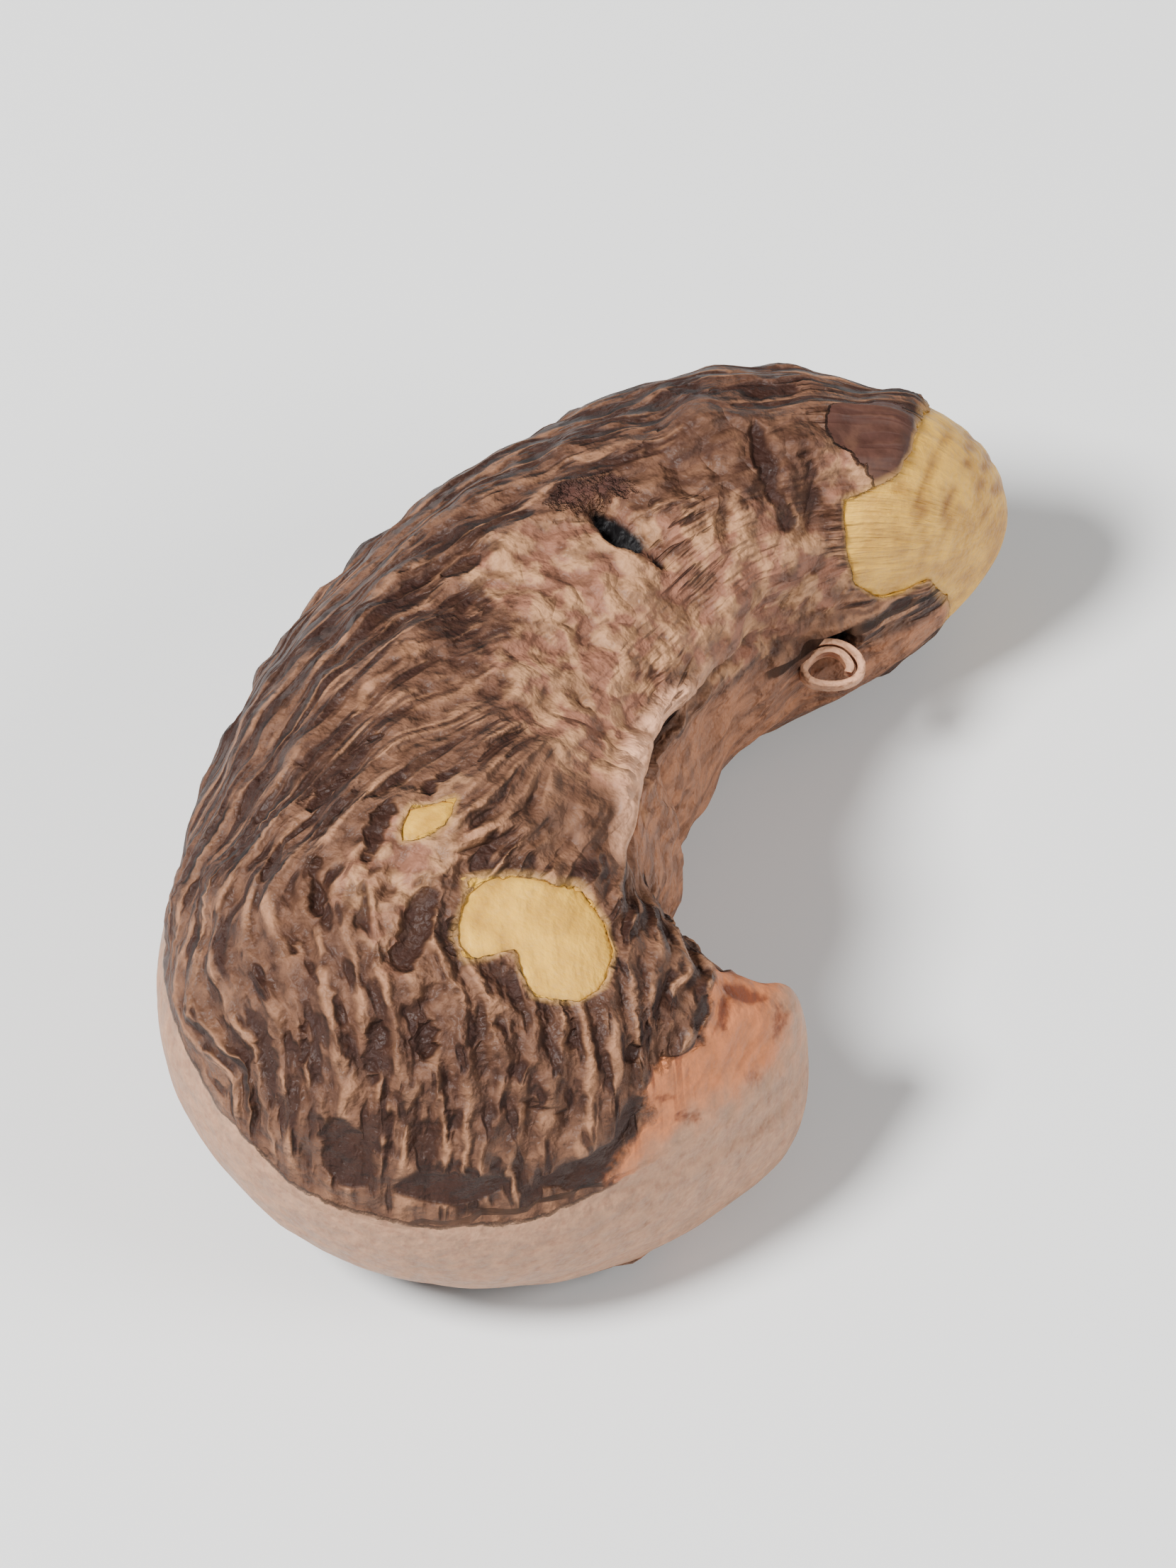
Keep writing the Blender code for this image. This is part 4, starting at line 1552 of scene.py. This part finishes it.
class Wiring:
    """Adds nodes to a tree and joins them, so that a finish reads as a recipe."""

    def __init__(self, tree: bpy.types.NodeTree) -> None:
        """Keeps the tree."""
        self.tree = tree

    def fill(self, node: bpy.types.Node, inputs: dict) -> None:
        """Joins signals to a node's inputs, and sets the value of the others.

        Args:
            node: The node.
            inputs: A value or a signal for each input, by name or number.
        """
        for name, value in inputs.items():
            if isinstance(value, Signal):
                self.tree.links.new(value.socket, node.inputs[name])
            else:
                node.inputs[name].default_value = value

    def add(self, kind: str, inputs: dict, output: str | int = 0, **settings: object) -> Signal:
        """Adds a node and fills its inputs.

        Args:
            kind: The node's type name, without its leading ShaderNode.
            inputs: A value or a signal for each input, by name or number.
            output: Which output is wanted.
            settings: The node's own properties.

        Returns:
            That output.
        """
        node = self.tree.nodes.new(f"ShaderNode{kind}")
        for name, value in settings.items():
            setattr(node, name, value)
        self.fill(node, inputs)
        return Signal(self, node.outputs[output])

    def noise(self, place: Signal, scale: Term, detail: float, roughness: float = 0.5) -> Signal:
        """Soft noise from 0 to 1."""
        inputs = {"Vector": place, "Scale": scale, "Detail": detail, "Roughness": roughness}
        return self.add("TexNoise", inputs)

    def value(self, name: str, output: str = "Fac") -> Signal:
        """The number, or with another output the vector, that a mesh attribute holds."""
        return self.add("Attribute", {}, output, attribute_name=name)

    def place(self) -> Signal:
        """Object coordinates in millimetres."""
        return self.vector("MULTIPLY", self.add("TexCoord", {}, "Object"), (1 / MM,) * 3)

    def vector(self, operation: str, *terms: "tuple | Signal") -> Signal:
        """One sum of vectors."""
        return self.add("VectorMath", dict(enumerate(terms)), operation=operation)

    def math(self, operation: str, a: Term, b: Term) -> Signal:
        """One sum of two numbers."""
        return self.add("Math", {0: a, 1: b}, operation=operation)

    def blend(self, share: Signal, first: Signal, second: Signal) -> Signal:
        """Two numbers mixed by a share."""
        return self.add("Mix", {0: share, 2: first, 3: second}, data_type="FLOAT")

    def mix(self, share: Term, *colours: "Colour | Signal", mode: str = "MIX") -> Signal:
        """Two colours mixed by a share."""
        first, second = ((*c, 1.0) if isinstance(c, tuple) else c for c in colours)
        return self.add("Mix", {0: share, 6: first, 7: second}, 2, data_type="RGBA", blend_type=mode)

    def coats(self, colour: Signal, coats: "list[tuple[Signal, Colour | Signal]]") -> Signal:
        """Lays colours over a colour, each by its share.

        Args:
            colour: The ground.
            coats: Share and colour of each coat in turn.

        Returns:
            The colour on top.
        """
        for share, coat in coats:
            colour = self.mix(share, colour, coat)
        return colour

    def group(self, tree: bpy.types.NodeTree, **inputs: Term) -> Signals:
        """Places a shared effect with its own values.

        Args:
            tree: The effect.
            inputs: A value or a signal for each of its inputs.

        Returns:
            Its outputs by name.
        """
        node = self.tree.nodes.new("ShaderNodeGroup")
        node.node_tree = tree
        self.fill(node, inputs)
        return {socket.name: Signal(self, socket) for socket in node.outputs}


def fine_mottle(w: Wiring, given: Signals) -> Signals:
    """Small uneven spots of a size round a place: their shade, and their noise as a height."""
    noise = w.noise(given["Place"], 1.0 / given["Size"], 3.0, 0.45)
    return {"Shade": noise.rise(0.3, 0.7), "Height": noise}


def soft_lumps(w: Wiring, given: Signals) -> Signals:
    """Soft uneven lumps that touch: cells of a warped Voronoi pattern, rounded, and the gaps.

    Args:
        w: The group's wiring.
        given: The place, and the size of the lumps.

    Returns:
        The lumps' height, and the gaps between them, which the skin paints brown as shade.
    """
    scale = 1.0 / given["Size"]
    stir = w.add("TexNoise", {"Vector": given["Place"], "Scale": scale, "Detail": 1.0}, "Color")
    stir = w.vector("SUBTRACT", stir, (0.5,) * 3)
    warped = w.vector("MULTIPLY_ADD", stir, (0.7,) * 3, given["Place"])
    away = w.add("TexVoronoi", {"Vector": warped, "Scale": scale}, "Distance", feature="F1")
    return {"Height": away.rise(0.0, 0.9, (1.0, 0.0)), "Gap": away.rise(0.45, 0.8)}


def grain_fibres(w: Wiring, given: Signals) -> Signals:
    """Fine lines along the grain: noise stretched in the direction of the limb.

    Args:
        w: The group's wiring.
        given: The grain's coordinates, and the lines' size across and along it.

    Returns:
        The lines' shade, and their plain noise as a height.
    """
    across, along = 1.0 / given["Across"], 1.0 / given["Along"]
    scale = w.add("CombineXYZ", {0: across, 1: across, 2: along})
    lines = w.noise(w.vector("MULTIPLY", given["Grain"], scale), 1.0, 2.5, 0.45)
    return {"Shade": lines.rise(0.32, 0.68), "Height": lines}


def wavy_veins(w: Wiring, given: Signals) -> Signals:
    """Wavy light veins along the grain, and dark marks where stretched noise is high between.

    Args:
        w: The group's wiring.
        given: The grain, the veins' numbers, the share of marks, the veins' lightness, and how
            short both are.

    Returns:
        The veins, the marks, a shade along the grain, and the veins' relief.
    """
    grain, short = given["Grain"], given["Short"]
    wavy = given["Column"] + (w.noise(grain, 1.4, 3.0) - 0.5) * 0.45
    border = w.math("PINGPONG", wavy, 0.5) * GRAIN.vein_spacing
    fade = w.noise(grain, 0.95, 2.0)
    strength = w.blend(short, fade.rise(0.42, 0.58), fade.rise(0.36, 0.56)) * given["Light"]
    vein = border.rise(0.06, 0.27, (1.0, 0.0)) * strength
    half = w.math("PINGPONG", wavy * 2.0, 0.5) * (GRAIN.vein_spacing / 2)
    thin = half.rise(0.02, 0.13, (0.5, 0.0)) * (1.0 - short) * fade.rise(0.48, 0.62)
    noises = []
    for across, along in ((0.52, 2.6), (0.5, 1.05)):
        drawn = w.vector("MULTIPLY", grain, (1 / across, 1 / across, 1 / along))
        noises.append(w.noise(drawn, 1.0, 1.6))
    noise = w.blend(short, *noises)
    level = (noise - 0.64) + given["Share"] * 0.28
    clear = border + (1.0 - strength) * 0.2
    return {
        "Vein": vein.most(thin),
        "Mark": level.rise(-0.05, 0.09) * clear.rise(0.08, 0.28),
        "Shade": noise.rise(0.35, 0.65),
        "Relief": border.rise(0.0, 0.45, (1.0, 0.0)) * fade.rise(0.25, 0.5, (0.4, 1.0)),
    }


def ragged_edge(w: Wiring, given: Signals) -> Signals:
    """A crisp ragged mask where a level, stirred by noise, passes zero.

    Args:
        w: The group's wiring.
        given: The noise, the level, how far the noise reaches, and the edge's softness.

    Returns:
        The mask.
    """
    stir = (given["Stir"] - 0.5) * (given["Reach"] * 2.0)
    level = (given["Level"] + stir) / given["Softness"]
    return {"Mask": level.rise(-1.0, 1.0)}


Recipe = Callable[[Wiring, Signals], Signals]


class Effects:
    """The shader effects that the finishes use, each built once."""

    def __init__(self) -> None:
        """Builds the groups, with a default for each number and None for each vector."""
        self.mottle = self.build(fine_mottle, Place=None, Size=0.3)
        self.pebbles = self.build(soft_lumps, Place=None, Size=0.8)
        self.fibres = self.build(grain_fibres, Grain=None, Across=0.2, Along=2.0)
        self.veins = self.build(wavy_veins, Grain=None, Column=0.0, Share=0.3, Light=1.0, Short=0.0)
        self.ragged = self.build(ragged_edge, Stir=0.5, Level=0.0, Reach=0.1, Softness=0.05)

    def build(self, recipe: Recipe, **inputs: float | None) -> bpy.types.NodeTree:
        """Builds a group with its sockets, named after its recipe.

        Args:
            recipe: What adds its nodes, from its inputs to its outputs.
            inputs: Default of each input: a number, or None for a vector.

        Returns:
            The group.
        """
        tree = bpy.data.node_groups.new(recipe.__name__, "ShaderNodeTree")
        for key, default in inputs.items():
            kind = "NodeSocketVector" if default is None else "NodeSocketFloat"
            socket = tree.interface.new_socket(key, in_out="INPUT", socket_type=kind)
            if default is not None:
                socket.default_value = default
        w, entry = Wiring(tree), tree.nodes.new("NodeGroupInput")
        outputs = recipe(w, {key: Signal(w, entry.outputs[key]) for key in inputs})
        for key in outputs:
            tree.interface.new_socket(key, in_out="OUTPUT", socket_type="NodeSocketFloat")
        w.fill(tree.nodes.new("NodeGroupOutput"), outputs)
        return tree


class Finish:
    """A material under way, with its wiring and its shader.

    Attributes:
        material: The material.
        w: Its wiring.
        effects: The shared effects.
    """

    def __init__(self, name: str, effects: Effects) -> None:
        """Starts a material.

        Args:
            name: Its name.
            effects: The shared effects.
        """
        self.material = bpy.data.materials.new(name)
        self.material.use_nodes = True
        self.w, self.effects = Wiring(self.material.node_tree), effects

    def done(self, inputs: dict, height: Signal | None = None, strength: float = 1.0) -> bpy.types.Material:
        """Fills the shader.

        Args:
            inputs: A value or a signal for each of its inputs.
            height: Relief in millimetres, or None.
            strength: How strong the relief is.

        Returns:
            The material.
        """
        if height:
            inputs["Normal"] = self.w.add("Bump", {"Height": height, "Strength": strength, "Distance": MM})
        self.w.fill(self.material.node_tree.nodes["Principled BSDF"], inputs)
        return self.material

    def spots(self, size: float) -> Signals:
        """Small uneven spots of a size."""
        return self.w.group(self.effects.mottle, Place=self.w.place(), Size=size)

    def lines(self, across: float, along: float) -> Signals:
        """Fine lines along the grain, of a size across and along it."""
        grain = self.w.value("grain", "Vector")
        return self.w.group(self.effects.fibres, Grain=grain, Across=across, Along=along)

    def mask(self, name: str, middle: float, stir: Signal, reach: float, soft: float) -> Signal:
        """A ragged mask where an attribute passes a value, stirred by noise of a reach."""
        level = self.w.value(name) - middle
        return self.w.group(self.effects.ragged, Stir=stir, Level=level, Reach=reach, Softness=soft)["Mask"]


@dataclass(frozen=True)
class KernelFinish:
    """Creamy yellow kernel with a faint grain, painted shade in darker gold in its furrows and towards the
    tip's end, browner under the torn edges.

    Attributes:
        cream: The kernel's colour.
        gold: Darker gold, painted as shade in the furrows and towards the tip's end.
        edge: The brown under a torn edge.
    """

    cream: Colour = (0.755, 0.415, 0.054)
    gold: Colour = (0.30, 0.128, 0.015)
    edge: Colour = (0.17, 0.078, 0.021)

    def colour(self, w: Wiring, spots: Signal, lines: Signal) -> Signal:
        """The kernel's colour, which the film of skin inside a torn edge shows too.

        Args:
            w: The material that it goes into.
            spots: Numbers from 0 to 1 that vary in spots.
            lines: Numbers from 0 to 1 that vary across the grain.

        Returns:
            The colour.
        """
        # Painted shade: darker gold in the furrows and towards the tip's end.
        share = (spots * 0.5 + lines * 0.25 + 0.4) - w.value("gold_shade") * 0.9
        colour = w.mix(share.within(), self.gold, self.cream)
        return w.mix(w.value("torn").rise(-0.2, 0.05, (0.0, 0.4)), colour, self.edge)

    def make(self, effects: Effects) -> bpy.types.Material:
        """Builds the material.

        Args:
            effects: The shared effects.

        Returns:
            The material.
        """
        finish = Finish("creamy_kernel", effects)
        w, specks, fibres = finish.w, finish.spots(0.16), finish.lines(0.5, 1.6)
        lines = w.blend(w.value("pole"), fibres["Shade"], specks["Shade"])
        raised = w.blend(w.value("pole"), fibres["Height"], specks["Height"] * 0.6)
        inputs = {
            "Base Color": self.colour(w, finish.spots(0.9)["Shade"], lines),
            "Roughness": specks["Shade"] * 0.15 + 0.42,
            "Subsurface Weight": 0.15,
            "Subsurface Radius": (1.0, 0.6, 0.25),
            "Subsurface Scale": 0.0012,
            "Specular IOR Level": 0.42,
        }
        return finish.done(inputs, raised * 0.16 + specks["Height"] * 0.05, 0.8)


class SkinPatterns(Finish):
    """The skin's material with the patterns and masks that its colour and its relief share.

    Attributes:
        mottle: Middling spots.
        flecks: Larger spots.
        specks: Tiny spots.
        fibres: Fine lines along the grain.
        wide: Broad streaks along it.
        fine: Noise that stirs crisp edges.
        veins: Light veins and dark marks along the grain.
        pebbles: Soft lumps.
        strip: The smooth strip.
        hook: The smooth hook.
        smooth: Both.
        plum: The plum-brown flake by the tip, and painted shade on the flap above the pit.
        dark: The dark marks and blotches.
        whole: Where the skin is whole, beyond the film inside a torn edge.
    """

    def __init__(self, effects: Effects) -> None:
        """Starts the material with its patterns.

        Args:
            effects: The shared effects.
        """
        super().__init__("roasted_skin", effects)
        w = self.w
        self.mottle, self.flecks, self.specks = self.spots(0.5), self.spots(0.75), self.spots(0.12)
        self.fibres, self.wide = self.lines(0.28, 0.9), self.lines(0.42, 2.4)["Shade"]
        self.fine = w.noise(w.place(), 4.2, 3.0, 0.6)
        self.pebbles = w.group(effects.pebbles, Place=w.place(), Size=1.05)
        inputs = {name.title(): w.value(name) for name in ("column", "share", "light")}
        inputs["Short"] = self.mask("short", 0.5, self.mottle["Height"], 0.4, 0.2)
        self.veins = w.group(effects.veins, Grain=w.value("grain", "Vector"), **inputs)
        self.strip = self.mask("strip", 0.0, self.fine, 0.09, 0.07)
        self.hook = self.mask("hook", 0.0, self.mottle["Height"], 0.35, 0.14)
        self.smooth = self.strip.most(self.hook)
        self.plum = self.mask("plum", 0.5, self.fine, 0.3, 0.15)
        worn = self.mottle["Shade"].rise(0.0, 0.7, (0.6, 1.0))
        marks = self.veins["Mark"] * (worn * w.value("ridgy").rise(0.05, 0.4))
        blotches = self.mask("dark", 0.36, self.fine, 0.2, 0.28) * w.value("dark").rise(0.2, 0.75)
        self.dark = marks.most(blotches)
        self.whole = self.mask("torn", 0.0, self.fine, 0.10, 0.03)


@dataclass(frozen=True)
class SkinFinish:
    """Papery brown skin, blotched dark along the grain, with a pale strip and a pink hook.

    Attributes:
        brown: Ground of the skin.
        tan: Its lighter ground.
        vein: Light veins between the marks.
        dark: The dark marks.
        cream: The pale middle of the face, and the skin's inner face.
        pinkish: The darker spots in it.
        strip: The smooth strip along the back.
        hook: The smooth hook.
        plum: The plum-brown flake by the tip, and painted shade on the flap above the pit.
        ridge: The crease's pale ridge, lightened past its own colour as a painted highlight.
        wall: The bay's wall.
        crevice: Painted shade, near black, in the crevice by the crease and in the pits.
        pit: Painted shade, black, inside the pits and in the hollow under the curl.
    """

    brown: Colour = (0.059, 0.0250, 0.0152)
    tan: Colour = (0.197, 0.093, 0.051)
    vein: Colour = (0.43, 0.208, 0.108)
    dark: Colour = (0.024, 0.0085, 0.0055)
    cream: Colour = (0.40, 0.204, 0.102)
    pinkish: Colour = (0.245, 0.104, 0.062)
    strip: Colour = (0.376, 0.211, 0.129)
    hook: Colour = (0.50, 0.168, 0.064)
    rust: Colour = (0.17, 0.045, 0.018)
    plum: Colour = (0.064, 0.026, 0.019)
    ridge: Colour = (0.70, 0.365, 0.215)
    wall: Colour = (0.345, 0.143, 0.069)
    torn: Colour = (0.44, 0.24, 0.085)
    soot: Colour = (0.055, 0.021, 0.013)
    crevice: Colour = (0.012, 0.006, 0.005)
    pit: Colour = (0.003, 0.0022, 0.0025)

    def ground(self, p: SkinPatterns) -> Signal:
        """The wrinkled skin's colour: its ground with painted shade on the flank, then veins, pale places,
        painted shade and highlight, and dark marks.

        Args:
            p: The skin's patterns.

        Returns:
            The colour.
        """
        w, mottle, flecks = p.w, p.mottle["Shade"], p.flecks["Shade"]
        tone = (w.value("tone") * 0.6 + mottle * 0.35 + 0.12) - p.veins["Shade"] * 0.3
        wall = w.mix(p.wide.rise(0.3, 0.9, (0.0, 0.5)), self.wall, self.brown)
        pale = p.mask("cream", 0.45, p.mottle["Height"], 0.55, 0.35) * mottle.rise(0.0, 0.5, (0.55, 1.0))
        spotted = w.mix(flecks.rise(0.25, 0.75), self.pinkish, self.cream)
        # Painted shade: brown in the gaps between the soft lumps.
        gap_shade = p.pebbles["Gap"] * w.value("lumpy").rise(0.0, 1.0, (0.1, 0.45))
        return w.coats(
            w.mix(tone.within(), self.brown, self.tan),
            [
                (p.veins["Vein"] * (1.0 - p.dark) * 0.8, self.vein),
                (w.value("wall") * 0.85, wall),
                (pale, spotted),
                (gap_shade, self.brown),
                # Painted highlight: the crease's ridge lightened past its own pale colour.
                (w.value("ridge") * 0.95, self.ridge),
                (w.value("sooty") * 0.5, self.soot),
                (p.dark * mottle.rise(0.0, 0.8, (0.8, 0.95)), self.dark),
                (p.plum * 0.9, self.plum),
            ],
        )

    def smooth_parts(self, p: SkinPatterns) -> tuple[Signal, Signal]:
        """The colours of the hook and of the strip.

        Args:
            p: The skin's patterns.

        Returns:
            The hook's, rusty in streaks and pale at its end, and the strip's, faintly spotted.
        """
        w = p.w
        near = w.value("hook").rise(0.0, 0.8, (0.8, 0.25)) * w.value("pale").rise(0.0, 0.6, (1.0, 0.0))
        pink = w.mix(p.wide.rise(0.4, 0.85) * near, self.hook, self.rust)
        pale = (w.value("pale") + p.flecks["Shade"] * -0.4).rise(-0.2, 0.9)
        pink = w.coats(pink, [(pale, self.strip), (p.mask("rusty", 0.36, p.fine, 0.4, 0.3), self.rust)])
        return pink, w.mix(p.fine.rise(0.4, 0.75, (0.0, 0.5)), self.strip, self.pinkish)

    def colour(self, p: SkinPatterns) -> Signal:
        """The whole skin's colour: the ground, the smooth parts, edges, painted shade in the hollows, and
        fine wear.

        Args:
            p: The skin's patterns.

        Returns:
            The colour.
        """
        w, mottle = p.w, p.mottle["Shade"]
        hook, strip = self.smooth_parts(p)
        colour = w.coats(
            self.ground(p),
            [
                (p.hook, hook),
                (p.strip, strip),
                (w.value("torn").rise(0.0, 0.22, (0.7, 0.0)), self.torn),
                (w.value("inside") * 0.8, self.cream),
                # Painted shade: the crevice and the pits darkened towards near black, then the pits black.
                (w.value("deep").rise(0.15, 0.75, (0.0, 0.88)), self.crevice),
                (w.value("pit").rise(0.35, 0.65), self.pit),
            ],
        )
        streaks = w.blend(p.smooth.most(w.value("lumpy")), p.fibres["Shade"], p.flecks["Shade"])
        worn = streaks * 0.12 + p.specks["Shade"] * 0.12 + 0.72 + mottle * 0.30
        grey = w.add("CombineColor", {0: worn, 1: worn, 2: worn})
        colour = w.mix(0.85, colour, grey, mode="MULTIPLY")
        return w.mix(p.whole, KernelFinish().colour(w, mottle, p.fibres["Shade"]), colour)

    def relief(self, p: SkinPatterns) -> Signal:
        """Fine relief in millimetres: fibres, spots, veins and lumps, less on the smooth parts.

        Args:
            p: The skin's patterns.

        Returns:
            The height.
        """
        lumpy = p.w.value("lumpy")
        height = p.fibres["Height"] * lumpy.rise(0.0, 1.0, (0.04, 0.008)) + p.specks["Height"] * 0.04
        height = height + p.mottle["Height"] * lumpy.rise(0.0, 1.0, (0.26, 0.12))
        height = height + p.flecks["Height"] * 0.42
        height = height + p.veins["Relief"] * p.w.value("ridgy") * 0.20
        height = height + p.pebbles["Height"] * lumpy.rise(0.0, 1.0, (0.06, 0.34)) - p.dark * 0.14
        even = (p.smooth * 0.6).most(p.plum * 0.85)
        return height * (1.0 - even) + p.whole * 0.06

    def make(self, effects: Effects) -> bpy.types.Material:
        """Builds the material.

        Args:
            effects: The shared effects.

        Returns:
            The material.
        """
        p = SkinPatterns(effects)
        roughness = (p.mottle["Shade"] * 0.2 + 0.48) - p.smooth * 0.06
        inputs = {"Base Color": self.colour(p), "Roughness": roughness, "Specular IOR Level": 0.2}
        return p.done(inputs, self.relief(p))


@dataclass(frozen=True)
class FloorFinish:
    """A plain pale matt floor."""

    colour: Colour = (0.78, 0.78, 0.77)

    def make(self, effects: Effects) -> bpy.types.Material:
        """Builds the material.

        Args:
            effects: The shared effects.

        Returns:
            The material.
        """
        finish = Finish("pale_floor", effects)
        roughness = finish.spots(4.0)["Shade"] * 0.04 + 0.8
        return finish.done({"Base Color": (*self.colour, 1.0), "Roughness": roughness})


@dataclass(frozen=True)
class SoftLight:
    """A large soft lamp that faces the nut.

    Attributes:
        azimuth: Degrees round the nut, as for the camera.
        elevation: Degrees above the floor.
        distance: Metres from the nut.
        size: Metres across.
        watts: Its power.
    """

    azimuth: float
    elevation: float
    distance: float
    size: float
    watts: float


def way_out(azimuth: float, elevation: float) -> Vector:
    """The direction from the nut to a camera or lamp at an azimuth and elevation."""
    a, e = np.radians(azimuth), np.radians(elevation)
    return Vector((np.sin(a) * np.cos(e), -np.cos(a) * np.cos(e), np.sin(e)))


@dataclass(frozen=True)
class Studio:
    """A pale floor, soft lamps, even light all round, and the camera at the photograph's angle.

    Attributes:
        azimuth: Degrees round the nut to the camera.
        elevation: Degrees above the floor to it.
        distance: Metres from the nut to it.
        clip: Metres between which it sees.
        floor_half: Half the floor's width in metres.
        sky: Colour of the even light.
    """

    azimuth: float = 34.0
    elevation: float = 54.0
    distance: float = 0.8
    lens: float = 682.4
    sensor: float = 36.0
    clip: Place = (0.01, 10.0)
    floor_half: float = 1.5
    sky: Colour = (0.95, 0.97, 1.0)
    sky_strength: float = 0.27
    lamps: tuple[SoftLight, ...] = (
        SoftLight(-28.0, 54.0, 0.5, 0.14, 6.0),
        SoftLight(104.0, 36.0, 0.6, 0.3, 2.5),
    )

    def build(self, effects: Effects, low: Vector, high: Vector) -> None:
        """Sets the stage round the nut.

        Args:
            effects: The shared effects.
            low: Lowest corner of the nut's box.
            high: Highest corner of it.
        """
        centre = (low + high) / 2
        corners = [(x, y, low.z) for x, y in ((-1, -1), (1, -1), (1, 1), (-1, 1))]
        mesh = bpy.data.meshes.new("floor")
        half = self.floor_half
        mesh.from_pydata([(x * half, y * half, z) for x, y, z in corners], [], [(0, 1, 2, 3)])
        mesh.materials.append(FloorFinish().make(effects))
        floor = bpy.data.objects.new("floor", mesh)
        bpy.context.scene.collection.objects.link(floor)
        for number, lamp in enumerate(self.lamps):
            data = bpy.data.lights.new(f"soft_light_{number}", "AREA")
            data.shape, data.size, data.energy = "DISK", lamp.size, lamp.watts
            self.face(bpy.data.objects.new(data.name, data), centre, lamp)
        world = bpy.data.worlds.new("even_light")
        world.use_nodes = True
        shade = world.node_tree.nodes["Background"]
        shade.inputs["Color"].default_value = (*self.sky, 1.0)
        shade.inputs["Strength"].default_value = self.sky_strength
        bpy.context.scene.world = world
        data = bpy.data.cameras.new("camera")
        data.lens, data.sensor_width = self.lens, self.sensor
        data.clip_start, data.clip_end = self.clip
        camera = bpy.data.objects.new("camera", data)
        self.face(camera, centre, self)
        bpy.context.scene.camera = camera

    def face(self, obj: bpy.types.Object, centre: Vector, stand: "SoftLight | Studio") -> None:
        """Links an object, and stands it off the centre so that it faces it.

        Args:
            obj: The lamp or the camera.
            centre: What it faces.
            stand: What says its azimuth, elevation and distance.
        """
        back = way_out(stand.azimuth, stand.elevation)
        bpy.context.scene.collection.objects.link(obj)
        obj.location = centre + back * stand.distance
        obj.rotation_mode = "QUATERNION"
        obj.rotation_quaternion = (-back).to_track_quat("-Z", "Y")


def main() -> None:
    """Builds the finishes, the two pieces and the studio, in that order."""
    logging.basicConfig(level=logging.INFO, format="%(message)s")
    effects = Effects()
    kernel = Kernel().build(KernelFinish().make(effects))
    skin = Skin().build(SkinFinish().make(effects))
    LOG.info("pieces: %s, %s", skin.name, kernel.name)
    Studio().build(effects, *CAD_BOX)


if __name__ == "__main__":
    main()
